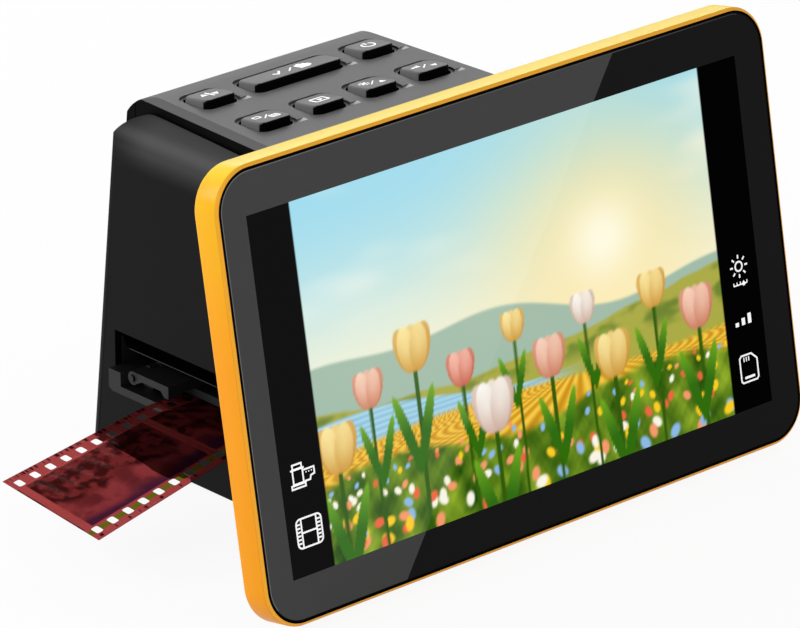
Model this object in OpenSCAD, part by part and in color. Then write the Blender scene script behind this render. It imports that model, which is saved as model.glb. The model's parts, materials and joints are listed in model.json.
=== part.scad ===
// Film negative scanner with a large tilted display.
// Origin: on the table, straight below the optical axis, in the body's plane of symmetry.
// +X runs to the right along the display, +Y to the rear, +Z up. Millimetres.

/* [Display] */
// Width of the display bezel
bezel_w = 173; // [160:0.2:190]
// Height of the bezel, along its slope
bezel_h = 108.7; // [100:0.1:120]
// Radius of the bezel's corners
bezel_r = 10.6; // [9:0.1:16]
// Depth of the bezel from lip to back edge
bezel_d = 8; // [6.5:0.5:10]
// Width of the lip round the glass
lip_w = 0.8; // [0.7:0.1:3]
// How far the lip stands in front of the glass
lip_proud = 0.1; // [0.1:0.1:1]
// Thickness of the cover glass
glass_t = 1.1; // [0.7:0.1:2]
// Thickness of the display panel behind the glass
lcd_t = 3.6; // [2.5:0.1:3.8]
// Lean of the display, back from upright
disp_tilt = 10.2; // [6:0.1:14]
// Distance of the display's centre in front of the optical axis
disp_forward = 60.5; // [57:0.5:70]
// Gap between the bezel's lowest edge and the table
disp_clear = 1.1; // [0.3:0.1:3]
// Depth of the display's rear cover behind the bezel
pan_d = 4.6; // [4.4:0.1:9]

/* [Body] */
// Width of the raised centre band, above the optical axis
core_w = 73.4; // [72:0.2:78]
// Taper of each side of the centre band towards the rear, in degrees
core_taper = 2.9; // [0:0.1:3.5]
// Width of each side shell beside the groove, above the optical axis
shell_w = 5.6; // [4:0.1:12]
// Height of the top panel above the table
body_h = 92; // [88:0.5:98]
// Drop from the top panel to the side shells' ridge
shoulder_drop = 4; // [2:0.5:6]
// Distance of the side shells' rear foot behind the optical axis
shell_rear = 46.2; // [43:0.2:50]
// How far the centre band stands behind the side shells
core_proud = 5; // [2.4:0.2:8]
// Lean of the rear, forward from upright
rear_lean = 6.3; // [4:0.1:8]
// Place of the joint behind the top panel, behind the optical axis
panel_rear = 36.5; // [34:0.5:38]
// Radius of the centre band's upper rear edge
core_r = 15; // [12:0.5:18]
// Radius of the side shells' upper rear corner
shell_r = 10; // [9:0.5:15]
// Radius of the shoulder where a side shell turns into its ridge
shoulder_r = 9; // [7.5:0.5:10]
// Radius of the side shells' rear edge
shell_edge_r = 3; // [2.5:0.1:4]
// Bevel along the centre band
core_bevel = 1.5; // [0.5:0.1:2]
// Groove between the centre band and a side shell
groove_w = 0.5; // [0.3:0.1:1]
// Wall of the mouldings
wall = 2; // [1.6:0.1:2.4]
// Thickness of the base plate
base_t = 2.5; // [2:0.1:3.5]
// Height of the rubber feet under the base plate
foot_h = 2; // [1.5:0.1:4]
// Radius of a rubber foot
foot_r = 5; // [4:0.5:6]

/* [Film channel] */
// Half width of the film tray
tray_half = 35.6; // [34:0.2:36.5]
// How far the tray's ends stand out of the side shells
tray_proud = 2.5; // [1:0.5:6]
// Height of the channel's floor above the table
channel_z = 18.1; // [17:0.1:21]
// Height of the channel between floor and upper jaw
channel_h = 9.9; // [9.5:0.1:12]
// Height of the slot in a side shell
slot_h = 14.9; // [13:0.1:16]
// Running gap round the tray
tray_gap = 0.4; // [0.3:0.1:0.8]
// Thickness of the tray's floor
tray_floor = 2; // [1.5:0.1:2.5]
// Height of the tray's side rails above its floor
rail_h = 3.6; // [2.5:0.1:3.8]
// Width of the tray's side rails
rail_w = 4.4; // [3:0.1:5]
// Height of the cover's plate above the tray's floor
cover_gap = 0.9; // [0.8:0.1:1.4]
// Thickness of the cover's plate
cover_t = 2; // [1.5:0.1:2.2]
// Width of the finger arm at each end of the cover
arm_w = 13.1; // [10:0.1:16]
// Radius of the cover's hinge barrel
barrel_r = 1.7; // [1.6:0.1:2.2]
// Radius of the hinge pin
hinge_pin_r = 0.9; // [0.7:0.05:1]
// Running clearance between pin and cover
pin_clear = 0.05; // [0.02:0.01:0.08]

/* [Film] */
// Width of the film strip
film_w = 35; // [34:0.5:36]
// Thickness of the film strip
film_t = 0.14; // [0.12:0.01:0.2]
// Spacing of the perforations
perf_pitch = 4.75; // [4.7:0.01:4.8]
// Length of one perforation along the film
perf_l = 1.98; // [1.8:0.01:2.1]
// Width of one perforation across the film
perf_w = 2.79; // [2.6:0.01:2.9]
// Distance of the perforations' centres from the film's edge
perf_in = 3.42; // [3.2:0.01:3.6]
// Number of perforations along each edge
perf_n = 32; // [16:1:40]
// How far the film hangs out beyond the tray
film_out = 47; // [20:1:60]
// Slope of the hanging end
film_droop = 8.4; // [0:0.1:12]

/* [Buttons] */
// Width of a small button
button_w = 10.2; // [8:0.1:12]
// Depth of a small button
button_d = 9.2; // [8:0.1:10]
// Width of the capture button
capture_w = 27.8; // [22:0.2:30]
// Spacing of the buttons across the panel
button_pitch = 16.8; // [15:0.1:17]
// Place of the front row behind the optical axis
row_front_y = 0.5; // [-4:0.5:2]
// Place of the rear row behind the optical axis
row_rear_y = 20.5; // [18:0.5:22]
// Height of a button's front edge above the panel
button_front = 1.9; // [1:0.1:3]
// Height of a button's rear edge above the panel
button_back = 0.5; // [0.2:0.1:1]
// Gap round a button in its hole
button_gap = 0.25; // [0.15:0.05:0.5]
// Travel of a button
button_travel = 0.8; // [0.3:0.1:1]

/* [Optics] */
// Length of the picture gate along the film
gate_l = 40; // [38:1:44]
// Width of the picture gate across the film
gate_w = 28; // [26:1:30]
// Outer length of the light tunnel
tunnel_l = 44; // [44:0.5:48]
// Outer width of the light tunnel
tunnel_w = 32; // [32:0.5:33]
// Clearance between the camera and the button board above it
camera_clear = 8.2; // [5:0.1:10]
// Side of the square lens holder
holder_w = 26; // [24:0.5:28]
// Height of the lens holder
holder_h = 16; // [14:0.5:18]
// Outer radius of the lens barrel
barrel_out_r = 8; // [7:0.1:8.5]
// Thickness of the circuit boards
board_t = 1.6; // [1:0.1:1.6]

/* [Hidden] */
$fn = 48;

eps = 0.01;
over = 1;
far = 200;
seat_gap = 0.3;
fit_gap = 0.2;
screw_clear = 0.05;
screw_play = 0.1;
head_play = 0.3;
drive_w = 0.5;
drive_l = 2;

// Display, in its own plane: u across, v up the slope, w towards the viewer, 0 at the glass
bezel_chamfer_front = 0.6;
bezel_chamfer_back = 1.5;
glass_gap = 0.35;
glass_w = bezel_w - 2 * (lip_w + glass_gap);
glass_h = bezel_h - 2 * (lip_w + glass_gap);
glass_r = bezel_r - lip_w - glass_gap;
shelf_w = 2.3;
lcd_w = glass_w - 2 * (shelf_w + glass_gap);
lcd_h = glass_h - 2 * (shelf_w + glass_gap);
lcd_r = 1.5;
bezel_back = lip_proud - bezel_d;
disp_y = -disp_forward;
disp_z = disp_clear + bezel_h / 2 * cos(disp_tilt)
    + (-bezel_back - bezel_chamfer_back) * sin(disp_tilt);
mount_depth = pan_d - bezel_back;
pan_flange = 2;
pan_inset = 1.5;
pan_w = bezel_w - 2 * pan_inset;
pan_h = bezel_h - 2 * pan_inset;
pan_r = bezel_r - pan_inset;
dome_in_x = 12;
dome_in_v = 1;
dome_h = pan_h - 2 * dome_in_v;
dome_w = pan_w - 2 * dome_in_x;
dome_r = 9;
dome_wall = 1.5;
dome_sink = 1;
dome_step = 0.5;
dome_rim = 5;
dome_rim_v = 6;
dome_inner_r = 4;
pan_chamfer = 0.8;
pan_screw_bite = 1.6;
post_w = 8;
post_x = lcd_w / 2 - post_w / 2;
post_y = lcd_h / 2 - post_w / 2;
screw_r = 1;
screw_head_r = 1.9;
screw_head_h = 1.2;
mount_screw_x = 26;
mount_drop = 4.6;
mount_screw_l = 5;
plate_t = 2;
ribbon_x = 22.4;
ribbon_w = 5;
ribbon_t = 0.3;
ribbon_v = -10;
ribbon_bend = 1.5;
ribbon_step = 3;
ribbon_lap = 5;
window_play = 1.5;
window_w = ribbon_w + 2 * window_play;
window_h = 4;
disp_board_w = 44;
disp_board_h = 30;
disp_board_t = 1;
disp_board_x = 8;
disp_board_drop = 8;
disp_chip_w = 10;

// Body
base_gap = foot_h;
shell_in_x = core_w / 2 + groove_w;
body_w = 2 * (shell_in_x + shell_w);
shell_top = body_h - shoulder_drop;
ridge_rise = 0.4;
core_rear = shell_rear + core_proud;
core_wall = wall + fit_gap;
skirt = 8;
joint_gap = 0.3;
joint_drop = 2;
rear_foot_r = 3.5;
base_top = base_gap + base_t;
boss_r = 3.2;
boss_h = 9;
boss_rib = 2;
boss_bore = 7;
open_front = 3;
port_cut = 6;
shell_boss_x = 36;
shell_boss_front = -46;
boss_in = 9.6;
shell_boss_rear = shell_rear - boss_in;
foot_x = 26.5;
foot_front_y = -48.5;
foot_in = 6;
foot_rear_y = shell_rear - foot_in;
foot_sink = 0.8;
foot_chamfer = 0.5;
leg_x = 27;
leg_y = 32;
leg_r = 3.5;
base_screw_l = 8;
base_head_sink = 1.3;

// Film channel
slot_half = tray_half + tray_gap;
guide_t = 2;
gate_t = 2.7;
gate_half_l = body_w / 2 - wall - fit_gap;
jaw_z = channel_z + channel_h;
jaw_drop = 3;
jaw_flange = 2;
jaw_r = 2.6;
jaw_half_l = gate_half_l - 2 * fit_gap;
jaw_top = jaw_z + jaw_drop + jaw_flange;
tray_half_l = body_w / 2 + tray_proud;
tray_cut_w = 1.2;
tray_cut_h = 0.8;
tray_z = channel_z + seat_gap;
tray_top = tray_z + tray_floor;
cover_z = tray_top + cover_gap;
cover_top = cover_z + cover_t;
barrel_in = 3.1;
hinge_lift = 0.9;
hinge_y = tray_half - rail_w - barrel_r - barrel_in;
hinge_z = cover_top + hinge_lift;
arm_top = hinge_z + barrel_r;
lug_w = 2.8;
lug_gap = 0.5;
knuckle_w = 4.3;
lug_in = 1.8;
knuckle_x = tray_half_l - knuckle_w;
lug_x = knuckle_x - lug_in;
cover_half_l = lug_x - lug_gap - lug_w / 2;
arm_lap = 4.3;
arm_start = cover_half_l - arm_lap;
arm_end = tray_half_l + fit_gap;
arm_front = hinge_y - arm_w;
arm_t = 1.8;
hook_w = 2.7;
hook_h = 3.2;
hook_cut = 1.2;
nose_w = 3.4;
pin_proud = 0.6;
window_l = 36.5;
window_w2 = 24.5;
window_r = 0.8;
ridge_h = 0.6;
ridge_w = 1.2;

// Film
film_lift = 0.25;
film_lip = 1.2;
film_z = tray_top + film_lift;
film_left = -tray_half_l - film_lip;
bend_r = 40;
bend_n = 6;
perf_r = 0.5;
perf_cut = 2;
bend_x = bend_r * sin(film_droop);
film_len = perf_n * perf_pitch;
film_right = film_len - film_out + film_left;

// Buttons
panel_under = body_h - core_wall;
mount_screw_v = (panel_under - disp_z) / cos(disp_tilt) - mount_drop;
button_r = 1.8;
button_chamfer = 0.5;
flange_t = 0.8;
flange_w = 1;
button_low = panel_under - seat_gap - flange_t;
stem_r = 1.5;
stem_l = 1.8;
switch_h = 2.8;
switch_w = 6;
switch_clear = 0.5;
switch_floor = 0.4;
switch_top = button_low - button_travel - switch_clear;
button_board_top = switch_top - switch_h;
capture_less = 0.7;
capture_d = button_d - capture_less;
well_margin = 1.2;
well_depth = 0.5;
ramp_l = 2.4;
ramp_w = 1.6;
ramp_lap = 0.6;
panel_boss_r = 2.2;
panel_boss_y = (row_front_y + row_rear_y) / 2;
panel_boss_x = 30;
panel_boss_bore = 3.5;
button_board_margin = 2.6;
button_board_reach = 7;
button_screw_bite = 2.8;
button_board_low = button_board_top - board_t;

// Optics and electronics
led_board_top = base_top + board_t;
light_box_top = channel_z - gate_t;
diffuser_t = 2;
light_l = 62;
light_w = 50;
light_wall = 4;
light_ledge = 2;
light_r = 2;
led_pitch = 12;
led_w = 2.8;
led_t = 0.8;
gate_bore = 7;
gate_r = 1;
holder_top = button_board_low - camera_clear - screw_head_h - board_t;
tunnel_top = holder_top - holder_h;
tunnel_h = tunnel_top - jaw_top;
tunnel_wall = 1.6;
tunnel_r = 2;
tunnel_flange = 2;
flange_reach = 5;
hole_in = 2.6;
tunnel_flange_l = tunnel_l + 2 * flange_reach;
flange_hole_x = tunnel_flange_l / 2 - hole_in;
hole_in_y = 4;
flange_hole_y = tunnel_w / 2 - hole_in_y;
holder_r = 2;
holder_hole = holder_w / 2 - hole_in;
holder_bore = 4;
lens_bore = barrel_out_r + screw_clear;
lens_way = 0.4;
barrel_below = 6;
barrel_above = 12;
barrel_low = tunnel_top - barrel_below;
barrel_high = tunnel_top + barrel_above;
barrel_in_r = 5.2;
front_seat = 4;
front_seat_r = 6.8;
rear_seat = 4;
rear_seat_r = 6;
lens_play = 0.02;
front_lens_t = 3;
front_lens_in = 1;
front_curve = 22;
rear_lens_t = 2.6;
rear_curve = 18;
sensor_t = 1.4;
sensor_l = 10;
sensor_w = 8;
standoff_h = 5;
main_board_z = jaw_top + standoff_h;
main_board_top = main_board_z + board_t;
board_front_gap = 1;
board_edge = 0.6;
main_board_front = tunnel_w / 2 + board_front_gap;
main_board_rear = rear_at(rear_dist(core_rear), main_board_top) - core_wall - board_edge;
main_board_half = band_half(main_board_rear) - wall - board_edge;
standoff_side = 2.2;
standoff_x = main_board_half - standoff_side;
standoff_in = 4;
standoff_front = main_board_front + standoff_in;
standoff_pitch = 14;
standoff_rear = standoff_front + standoff_pitch;
standoff_r = 2.2;
standoff_bore = 3.5;
board_screw_bite = 3;
socket_mouth = 0.7;
socket_back = 1;
shell_t = 0.4;
usb_shell_t = 0.35;
// Centre x, length inwards, width and height of the card, power and video sockets
SOCKETS = [[-14.4, 27, 25.4, 3], [9, 8, 9, 3.2], [21.5, 8, 11.4, 3.4]];
// Width, length and thickness of the contact carriers in the power and video sockets
TONGUES = [[6.6, 5.5, 0.7], [8, 5, 0.8]];
// Place and size of the chips on the main board
CHIPS = [[2, 2, 12, 12, 1.2], [15.5, 3, 5, 9, 1]];

// ---------------------------------------------------------------- shared shapes

// A rectangle with round corners
module rounded_rect(w, h, r) {
    square([w - 2 * r, h], center = true);
    square([w, h - 2 * r], center = true);
    for (x = [-1, 1], y = [-1, 1])
        translate([x * (w / 2 - r), y * (h / 2 - r)]) circle(r);
}

// Half the section of a slab: reach outwards, depth d, chamfer c0 below and c1 above
function half_section(reach, d, c0, c1) = concat(
    c0 > 0 ? [[reach - c0, 0], [reach, c0]] : [[reach, 0]],
    c1 > 0 ? [[reach, d - c1], [reach - c1, d]] : [[reach, d]]);

function mirrored(points) = [for (i = [len(points) - 1:-1:0]) [-points[i][0], points[i][1]]];

// A slab with round corners and chamfered rims, standing on z = 0
module slab(w, h, r, d, c0 = 0, c1 = 0) {
    corner = half_section(r, d, c0, c1);
    across = half_section(w / 2, d, c0, c1);
    along = half_section(h / 2, d, c0, c1);
    for (x = [-1, 1], y = [-1, 1])
        translate([x * (w / 2 - r), y * (h / 2 - r), 0])
            rotate_extrude() polygon(concat([[0, 0]], corner, [[0, d]]));
    rotate([90, 0, 90]) translate([0, 0, r - w / 2])
        linear_extrude(w - 2 * r) polygon(concat(along, mirrored(along)));
    rotate([90, 0, 0]) translate([0, 0, r - h / 2])
        linear_extrude(h - 2 * r) polygon(concat(across, mirrored(across)));
}

// Takes a drawing in (y, z) and runs it along x from x0 to x1
module along_x(x0, x1) {
    translate([x0, 0, 0]) rotate([90, 0, 90]) linear_extrude(x1 - x0) children();
}

// Takes a drawing in (x, z) and runs it along y from y0 to y1
module along_y(y0, y1) {
    translate([0, y1, 0]) rotate([90, 0, 0]) linear_extrude(y1 - y0) children();
}

// Puts its children in the display's own plane
module in_display() {
    translate([0, disp_y, disp_z]) rotate([90 - disp_tilt, 0, 0]) children();
}

// A screw pointing up, its head below z = 0
module screw(r, l, head_r, head_h) {
    difference() {
        union() {
            cylinder(r = r, h = l);
            translate([0, 0, -head_h]) cylinder(r = head_r, h = head_h);
        }
        for (a = [0, 90])
            rotate(a) translate([-drive_l / 2, -drive_w / 2, -head_h - eps])
                cube([drive_l, drive_w, head_h / 2]);
    }
}

// The four places mirrored in x and y
module four_places(x, y) {
    for (sx = [-1, 1], sy = [-1, 1]) translate([sx * x, sy * y, 0]) children();
}

// ---------------------------------------------------------------- body outline

// Distance of the leaning rear plane from the origin, for a foot at y
function rear_dist(y) = y * cos(rear_lean) + base_gap * sin(rear_lean);
function rear_at(dist, z) = (dist - z * sin(rear_lean)) / cos(rear_lean);
function band_half(y) = core_w / 2 - y * tan(core_taper);
function front_at(z, depth) = disp_y + (z - disp_z) * tan(disp_tilt) + depth / cos(disp_tilt);

// Side view of the body, moved in by t, with its rear foot at rear_y
module side_outline(t, top, rear_y, r, front_t, r_foot = 0) {
    dist = rear_dist(rear_y) - t;
    zc = top - r;
    yc = rear_at(dist - (r - t), zc);
    low = t > 0 ? base_gap - over : base_gap;
    zf = low + r_foot;
    yf = rear_at(dist - r_foot, zf);
    polygon(concat(
        [[front_at(low, mount_depth + front_t), low]],
        r_foot > 0 ? [[yf, low],
            [yf + r_foot * cos(rear_lean), zf + r_foot * sin(rear_lean)]]
            : [[rear_at(dist, low), low]],
        [[yc + (r - t) * cos(rear_lean), zc + (r - t) * sin(rear_lean)], [yc, top - t],
        [front_at(top - t, mount_depth + front_t), top - t]]));
    translate([yc, zc]) circle(r - t, $fn = 96);
    if (r_foot > 0) translate([yf, zf]) circle(r_foot);
}

// A prism that leans with the rear plane and ends on it
module leaning_prism(rear_y, t) {
    translate([0, rear_at(rear_dist(rear_y), 0), 0]) rotate([rear_lean, 0, 0])
        translate([0, 0, -far / 2]) linear_extrude(2 * far) children();
}

// The right side shell's form, moved in by t
module shell_form(t) {
    half = body_w / 2;
    cx = half - shoulder_r;
    zc = shell_top - sqrt(pow(shoulder_r, 2) - pow(shell_in_x - cx, 2));
    x0 = band_half(core_rear) - over;
    intersection() {
        along_x(x0, half - t)
            side_outline(t, shell_top + ridge_rise, shell_rear, shell_r, t, t > 0 ? 0 : rear_foot_r);
        along_y(-far, far) {
            translate([x0, -over]) square([half - t - x0, zc + over]);
            intersection() {
                translate([cx, zc]) circle(shoulder_r - t, $fn = 96);
                translate([x0, zc - eps]) square([half - x0, shoulder_r]);
            }
        }
        leaning_prism(shell_rear, t) {
            translate([x0, -far]) square([half - t - x0, far - shell_edge_r]);
            translate([x0, -far]) square([half - shell_edge_r - x0, far - t]);
            translate([half - shell_edge_r, -shell_edge_r]) circle(shell_edge_r - t);
        }
    }
}

// Everything to the left of the centre band's right side, moved in by inset
module band_side(inset, bevel) {
    translate([core_w / 2 - inset, 0, 0]) rotate(core_taper) along_y(-far, far)
        polygon([[-far, -over], [0, -over], [0, body_h - bevel], [-bevel, body_h], [-far, body_h]]);
}

// The space between the centre band's tapering sides, moved in by inset
module core_band(inset, bevel = 0) {
    intersection() {
        band_side(inset, bevel);
        mirror([1, 0, 0]) band_side(inset, bevel);
    }
}

// The centre band's form, with its bevelled edges
module core_form() {
    back = band_half(core_rear) - core_bevel;
    intersection() {
        along_x(-far, far) side_outline(0, body_h, core_rear, core_r, 0, rear_foot_r);
        core_band(0, core_bevel);
        leaning_prism(core_rear, 0) polygon([[-back - far, -far], [back + far, -far], [back, 0],
            [-back, 0]]);
    }
}

// The centre band as a thin moulding with a skirt along each side
module core_skin() {
    difference() {
        core_form();
        intersection() {
            core_band(wall);
            along_x(-far, far)
                side_outline(core_wall, body_h, core_rear, core_r, -core_wall - open_front);
        }
        along_x(-far, far) side_outline(skirt, body_h, core_rear, core_r, -skirt - open_front);
    }
}

// ---------------------------------------------------------------- display

module display_frame() {
    color("goldenrod") in_display() {
        difference() {
            translate([0, 0, bezel_back])
                slab(bezel_w, bezel_h, bezel_r, bezel_d, bezel_chamfer_back, bezel_chamfer_front);
            translate([0, 0, -glass_t]) linear_extrude(far)
                rounded_rect(glass_w + 2 * glass_gap, glass_h + 2 * glass_gap, glass_r + glass_gap);
            translate([0, 0, bezel_back - over]) linear_extrude(bezel_d + over)
                rounded_rect(lcd_w + 2 * glass_gap, lcd_h + 2 * glass_gap, lcd_r + glass_gap);
        }
        // Corner posts that hold the panel in and take the rear cover's screws
        translate([0, 0, bezel_back]) four_places(post_x, post_y) difference() {
            translate([-post_w / 2, -post_w / 2, 0])
                cube([post_w, post_w, -glass_t - lcd_t - seat_gap - bezel_back]);
            translate([0, 0, -over]) cylinder(r = screw_r + screw_clear, h = far);
        }
        // Ribs that join the posts to the bezel's walls
        translate([0, 0, bezel_back])
            for (sx = [-1, 1], sy = [-1, 1])
                translate([sx * (lcd_w / 2 + glass_gap / 2), sy * post_y, 0])
                    translate([-glass_gap, -post_w / 2, 0])
                        cube([2 * glass_gap, post_w, -glass_t - lcd_t - seat_gap - bezel_back]);
    }
}

module display_glass() {
    color("black") in_display()
        translate([0, 0, -glass_t]) slab(glass_w, glass_h, glass_r, glass_t, 0, 0.3);
}

module lcd_panel() {
    color("dimgray") in_display()
        translate([0, 0, -glass_t - lcd_t]) linear_extrude(lcd_t) rounded_rect(lcd_w, lcd_h, lcd_r);
}

module display_board() {
    color("darkgreen") in_display() {
        translate([disp_board_x, ribbon_v - disp_board_drop, -glass_t - lcd_t - disp_board_t])
            cube([disp_board_w, disp_board_h, disp_board_t]);
        translate([disp_board_x + disp_chip_w / 2, ribbon_v + disp_board_drop,
            -glass_t - lcd_t - 2 * disp_board_t])
            cube([disp_chip_w, disp_chip_w, disp_board_t + eps]);
    }
}

module display_rear_cover() {
    color("black") in_display() difference() {
        union() {
            translate([0, 0, bezel_back - pan_flange])
                slab(pan_w, pan_h, pan_r, pan_flange, pan_chamfer, 0);
            translate([0, 0, -mount_depth])
                slab(dome_w, dome_h, dome_r, pan_d - dome_sink, pan_d - pan_flange - dome_step, 0);
        }
        translate([0, 0, -mount_depth + dome_wall]) linear_extrude(far)
            rounded_rect(dome_w - 2 * dome_rim, dome_h - 2 * dome_rim_v, dome_inner_r);
        translate([0, 0, bezel_back - pan_flange - over]) four_places(post_x, post_y)
            cylinder(r = screw_r + screw_play, h = pan_flange + 2 * over);
        translate([0, 0, -mount_depth - over]) {
            four_places(mount_screw_x, mount_screw_v)
                cylinder(r = screw_r + screw_clear, h = far);
            translate([ribbon_x + ribbon_w / 2 - window_w / 2, ribbon_v - window_h / 2, 0])
                cube([window_w, window_h, far]);
        }
    }
}

module display_screws() {
    color("silver") in_display()
        translate([0, 0, bezel_back - pan_flange]) four_places(post_x, post_y)
            screw(screw_r, pan_flange + pan_screw_bite, screw_head_r, screw_head_h);
}

// Stiff plate behind the display, the front wall of the body
module display_mount_plate() {
    plate_top = panel_under - fit_gap;
    color("dimgray") difference() {
        intersection() {
            in_display() translate([-far / 2, -far / 2, -mount_depth - plate_t])
                cube([far, far, plate_t]);
            core_band(wall + fit_gap);
            translate([-far, -far, base_top]) cube([2 * far, 2 * far, plate_top - base_top]);
        }
        in_display() translate([0, 0, -mount_depth - plate_t - over]) {
            four_places(mount_screw_x, mount_screw_v)
                cylinder(r = screw_r + screw_play, h = plate_t + 2 * over);
            translate([ribbon_x + ribbon_w / 2 - window_w / 2, ribbon_v - window_h / 2, 0])
                cube([window_w, window_h, plate_t + 2 * over]);
        }
    }
}

module mount_screws() {
    color("silver") in_display()
        translate([0, 0, -mount_depth - plate_t]) four_places(mount_screw_x, mount_screw_v)
            screw(screw_r, mount_screw_l, screw_head_r, screw_head_h);
}

// A point (y, z) given by its height v and depth w in the display
function disp_point(v, w) = [disp_y + v * sin(disp_tilt) - w * cos(disp_tilt),
    disp_z + v * cos(disp_tilt) + w * sin(disp_tilt)];

// Flat cable from the display's board to the main board
module ribbon_cable() {
    exit = disp_point(ribbon_v, -mount_depth - plate_t - ribbon_bend);
    route = [disp_point(ribbon_v, -glass_t - lcd_t - disp_board_t - ribbon_t / 2), exit,
        [main_board_front - ribbon_step, exit[1]],
        [main_board_front + board_edge, main_board_top + ribbon_t / 2],
        [main_board_front + ribbon_lap, main_board_top + ribbon_t / 2]];
    color("peru") along_x(ribbon_x, ribbon_x + ribbon_w)
        for (i = [0:len(route) - 2]) {
            step = route[i + 1] - route[i];
            translate(route[i]) rotate(atan2(step[1], step[0])) translate([0, -ribbon_t / 2])
                square([norm(step), ribbon_t]);
            translate(route[i + 1]) circle(ribbon_t / 2);
        }
}

// ---------------------------------------------------------------- housings

// Drawing of one button's hole or well, grown by g
module button_shape(w, d, g) {
    rounded_rect(w + 2 * g, d + 2 * g, button_r + g);
}

// Name, width, depth and place of every button
BUTTONS = [
    ["flip", button_w, button_d, -1.5 * button_pitch, row_rear_y],
    ["capture", capture_w, capture_d, 0, row_rear_y],
    ["power", button_w, button_d, 1.5 * button_pitch, row_rear_y],
    ["film_type", button_w, button_d, -1.5 * button_pitch, row_front_y],
    ["gallery", button_w, button_d, -0.5 * button_pitch, row_front_y],
    ["up", button_w, button_d, 0.5 * button_pitch, row_front_y],
    ["down", button_w, button_d, 1.5 * button_pitch, row_front_y]];

// Slope at the right front end of a well, where its floor runs out to the panel's top
module well_ramp(w, d) {
    rise = well_depth + over;
    translate([w / 2 + well_margin - ramp_lap, ramp_w - d / 2 - well_margin, body_h - well_depth])
        rotate([90, 0, 0]) linear_extrude(ramp_w)
            polygon([[0, 0], [ramp_l * rise / well_depth, rise], [0, rise]]);
}

// The space of the top panel, in front of the joint and above the skirts, grown by g
module panel_zone(g) {
    translate([-far, -far, body_h - skirt - joint_drop - g])
        cube([2 * far, far + panel_rear + g, far]);
}

module top_panel() {
    color("dimgray") {
        difference() {
            intersection() {
                core_skin();
                panel_zone(-joint_gap / 2);
            }
            for (b = BUTTONS) translate([b[3], b[4], 0]) {
                translate([0, 0, body_h - well_depth]) linear_extrude(far)
                    button_shape(b[1], b[2], well_margin);
                well_ramp(b[1], b[2]);
                translate([0, 0, panel_under - over]) linear_extrude(far)
                    button_shape(b[1], b[2], button_gap);
            }
        }
        // Bosses that carry the button board
        for (x = [-panel_boss_x, 0, panel_boss_x]) translate([x, panel_boss_y, button_board_top])
            difference() {
                cylinder(r = panel_boss_r, h = panel_under + eps - button_board_top);
                translate([0, 0, -over]) cylinder(r = screw_r + screw_clear, h = panel_boss_bore + over);
            }
    }
}

module rear_panel() {
    mouth = rear_at(rear_dist(core_rear), main_board_top);
    color("black") difference() {
        core_skin();
        panel_zone(joint_gap / 2);
        for (s = SOCKETS)
            translate([s[0] - s[2] / 2 - seat_gap, mouth - port_cut, main_board_top - seat_gap])
                cube([s[2] + 2 * seat_gap, 2 * port_cut, s[3] + 2 * seat_gap]);
    }
}

// The right side shell with its tray slot and two screw bosses
module side_shell() {
    difference() {
        union() {
            difference() {
                shell_form(0);
                shell_form(wall);
                core_band(-groove_w);
            }
            for (y = [shell_boss_front, shell_boss_rear]) translate([0, y, base_top]) {
                translate([shell_boss_x, 0, 0]) cylinder(r = boss_r, h = boss_h);
                translate([shell_boss_x, -boss_rib / 2, 0])
                    cube([body_w / 2 - wall + eps - shell_boss_x, boss_rib, boss_h]);
            }
        }
        translate([body_w / 2 - wall - over, -slot_half, channel_z])
            cube([wall + 2 * over, 2 * slot_half, slot_h]);
        for (y = [shell_boss_front, shell_boss_rear]) translate([shell_boss_x, y, base_top - over])
            cylinder(r = screw_r + screw_clear, h = boss_bore + over);
    }
}

module right_shell() {
    color([0.12, 0.12, 0.12]) side_shell();
}

module left_shell() {
    color([0.12, 0.12, 0.12]) mirror([1, 0, 0]) side_shell();
}

module base_screw_places() {
    for (sx = [-1, 1]) {
        for (y = [shell_boss_front, shell_boss_rear]) translate([sx * shell_boss_x, y, 0]) children();
        for (sy = [-1, 1]) translate([sx * leg_x, sy * leg_y, 0]) children();
    }
}

module foot_places() {
    for (sx = [-1, 1], y = [foot_front_y, foot_rear_y]) translate([sx * foot_x, y, 0]) children();
    children();
}

module base_plate() {
    front = front_at(base_top, mount_depth) + seat_gap;
    rear = rear_at(rear_dist(shell_rear), base_top) - wall - seat_gap;
    rear_core = rear_at(rear_dist(core_rear), base_top) - core_wall - seat_gap;
    side = body_w / 2 - wall - fit_gap;
    core_front = band_half(front);
    core = band_half(rear_core) - wall - fit_gap;
    skirt_y = rear_core - skirt + core_wall;
    color([0.15, 0.15, 0.15]) difference() {
        translate([0, 0, base_gap]) linear_extrude(base_t)
            polygon([[-side, front + wall], [-core_front, front + wall], [-core_front, front],
                [core_front, front], [core_front, front + wall], [side, front + wall],
                [side, min(rear, skirt_y)],
                [core, min(rear, skirt_y)], [core, rear_core], [-core, rear_core],
                [-core, min(rear, skirt_y)], [-side, min(rear, skirt_y)]]);
        translate([0, 0, base_gap - over]) {
            base_screw_places() {
                cylinder(r = screw_r + fit_gap, h = base_t + 2 * over);
                cylinder(r = screw_head_r + head_play, h = base_head_sink + over);
            }
            foot_places() cylinder(r = foot_r + fit_gap, h = foot_sink + over);
        }
    }
}

module base_screws() {
    color("silver") base_screw_places() translate([0, 0, base_gap + base_head_sink])
        screw(screw_r, base_screw_l, screw_head_r, screw_head_h - screw_play);
}

module rubber_feet() {
    color([0.1, 0.1, 0.1]) foot_places() {
        cylinder(r1 = foot_r - foot_chamfer, r2 = foot_r, h = foot_chamfer);
        translate([0, 0, foot_chamfer])
            cylinder(r = foot_r, h = base_gap + foot_sink - foot_chamfer);
    }
}

// ---------------------------------------------------------------- buttons

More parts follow.
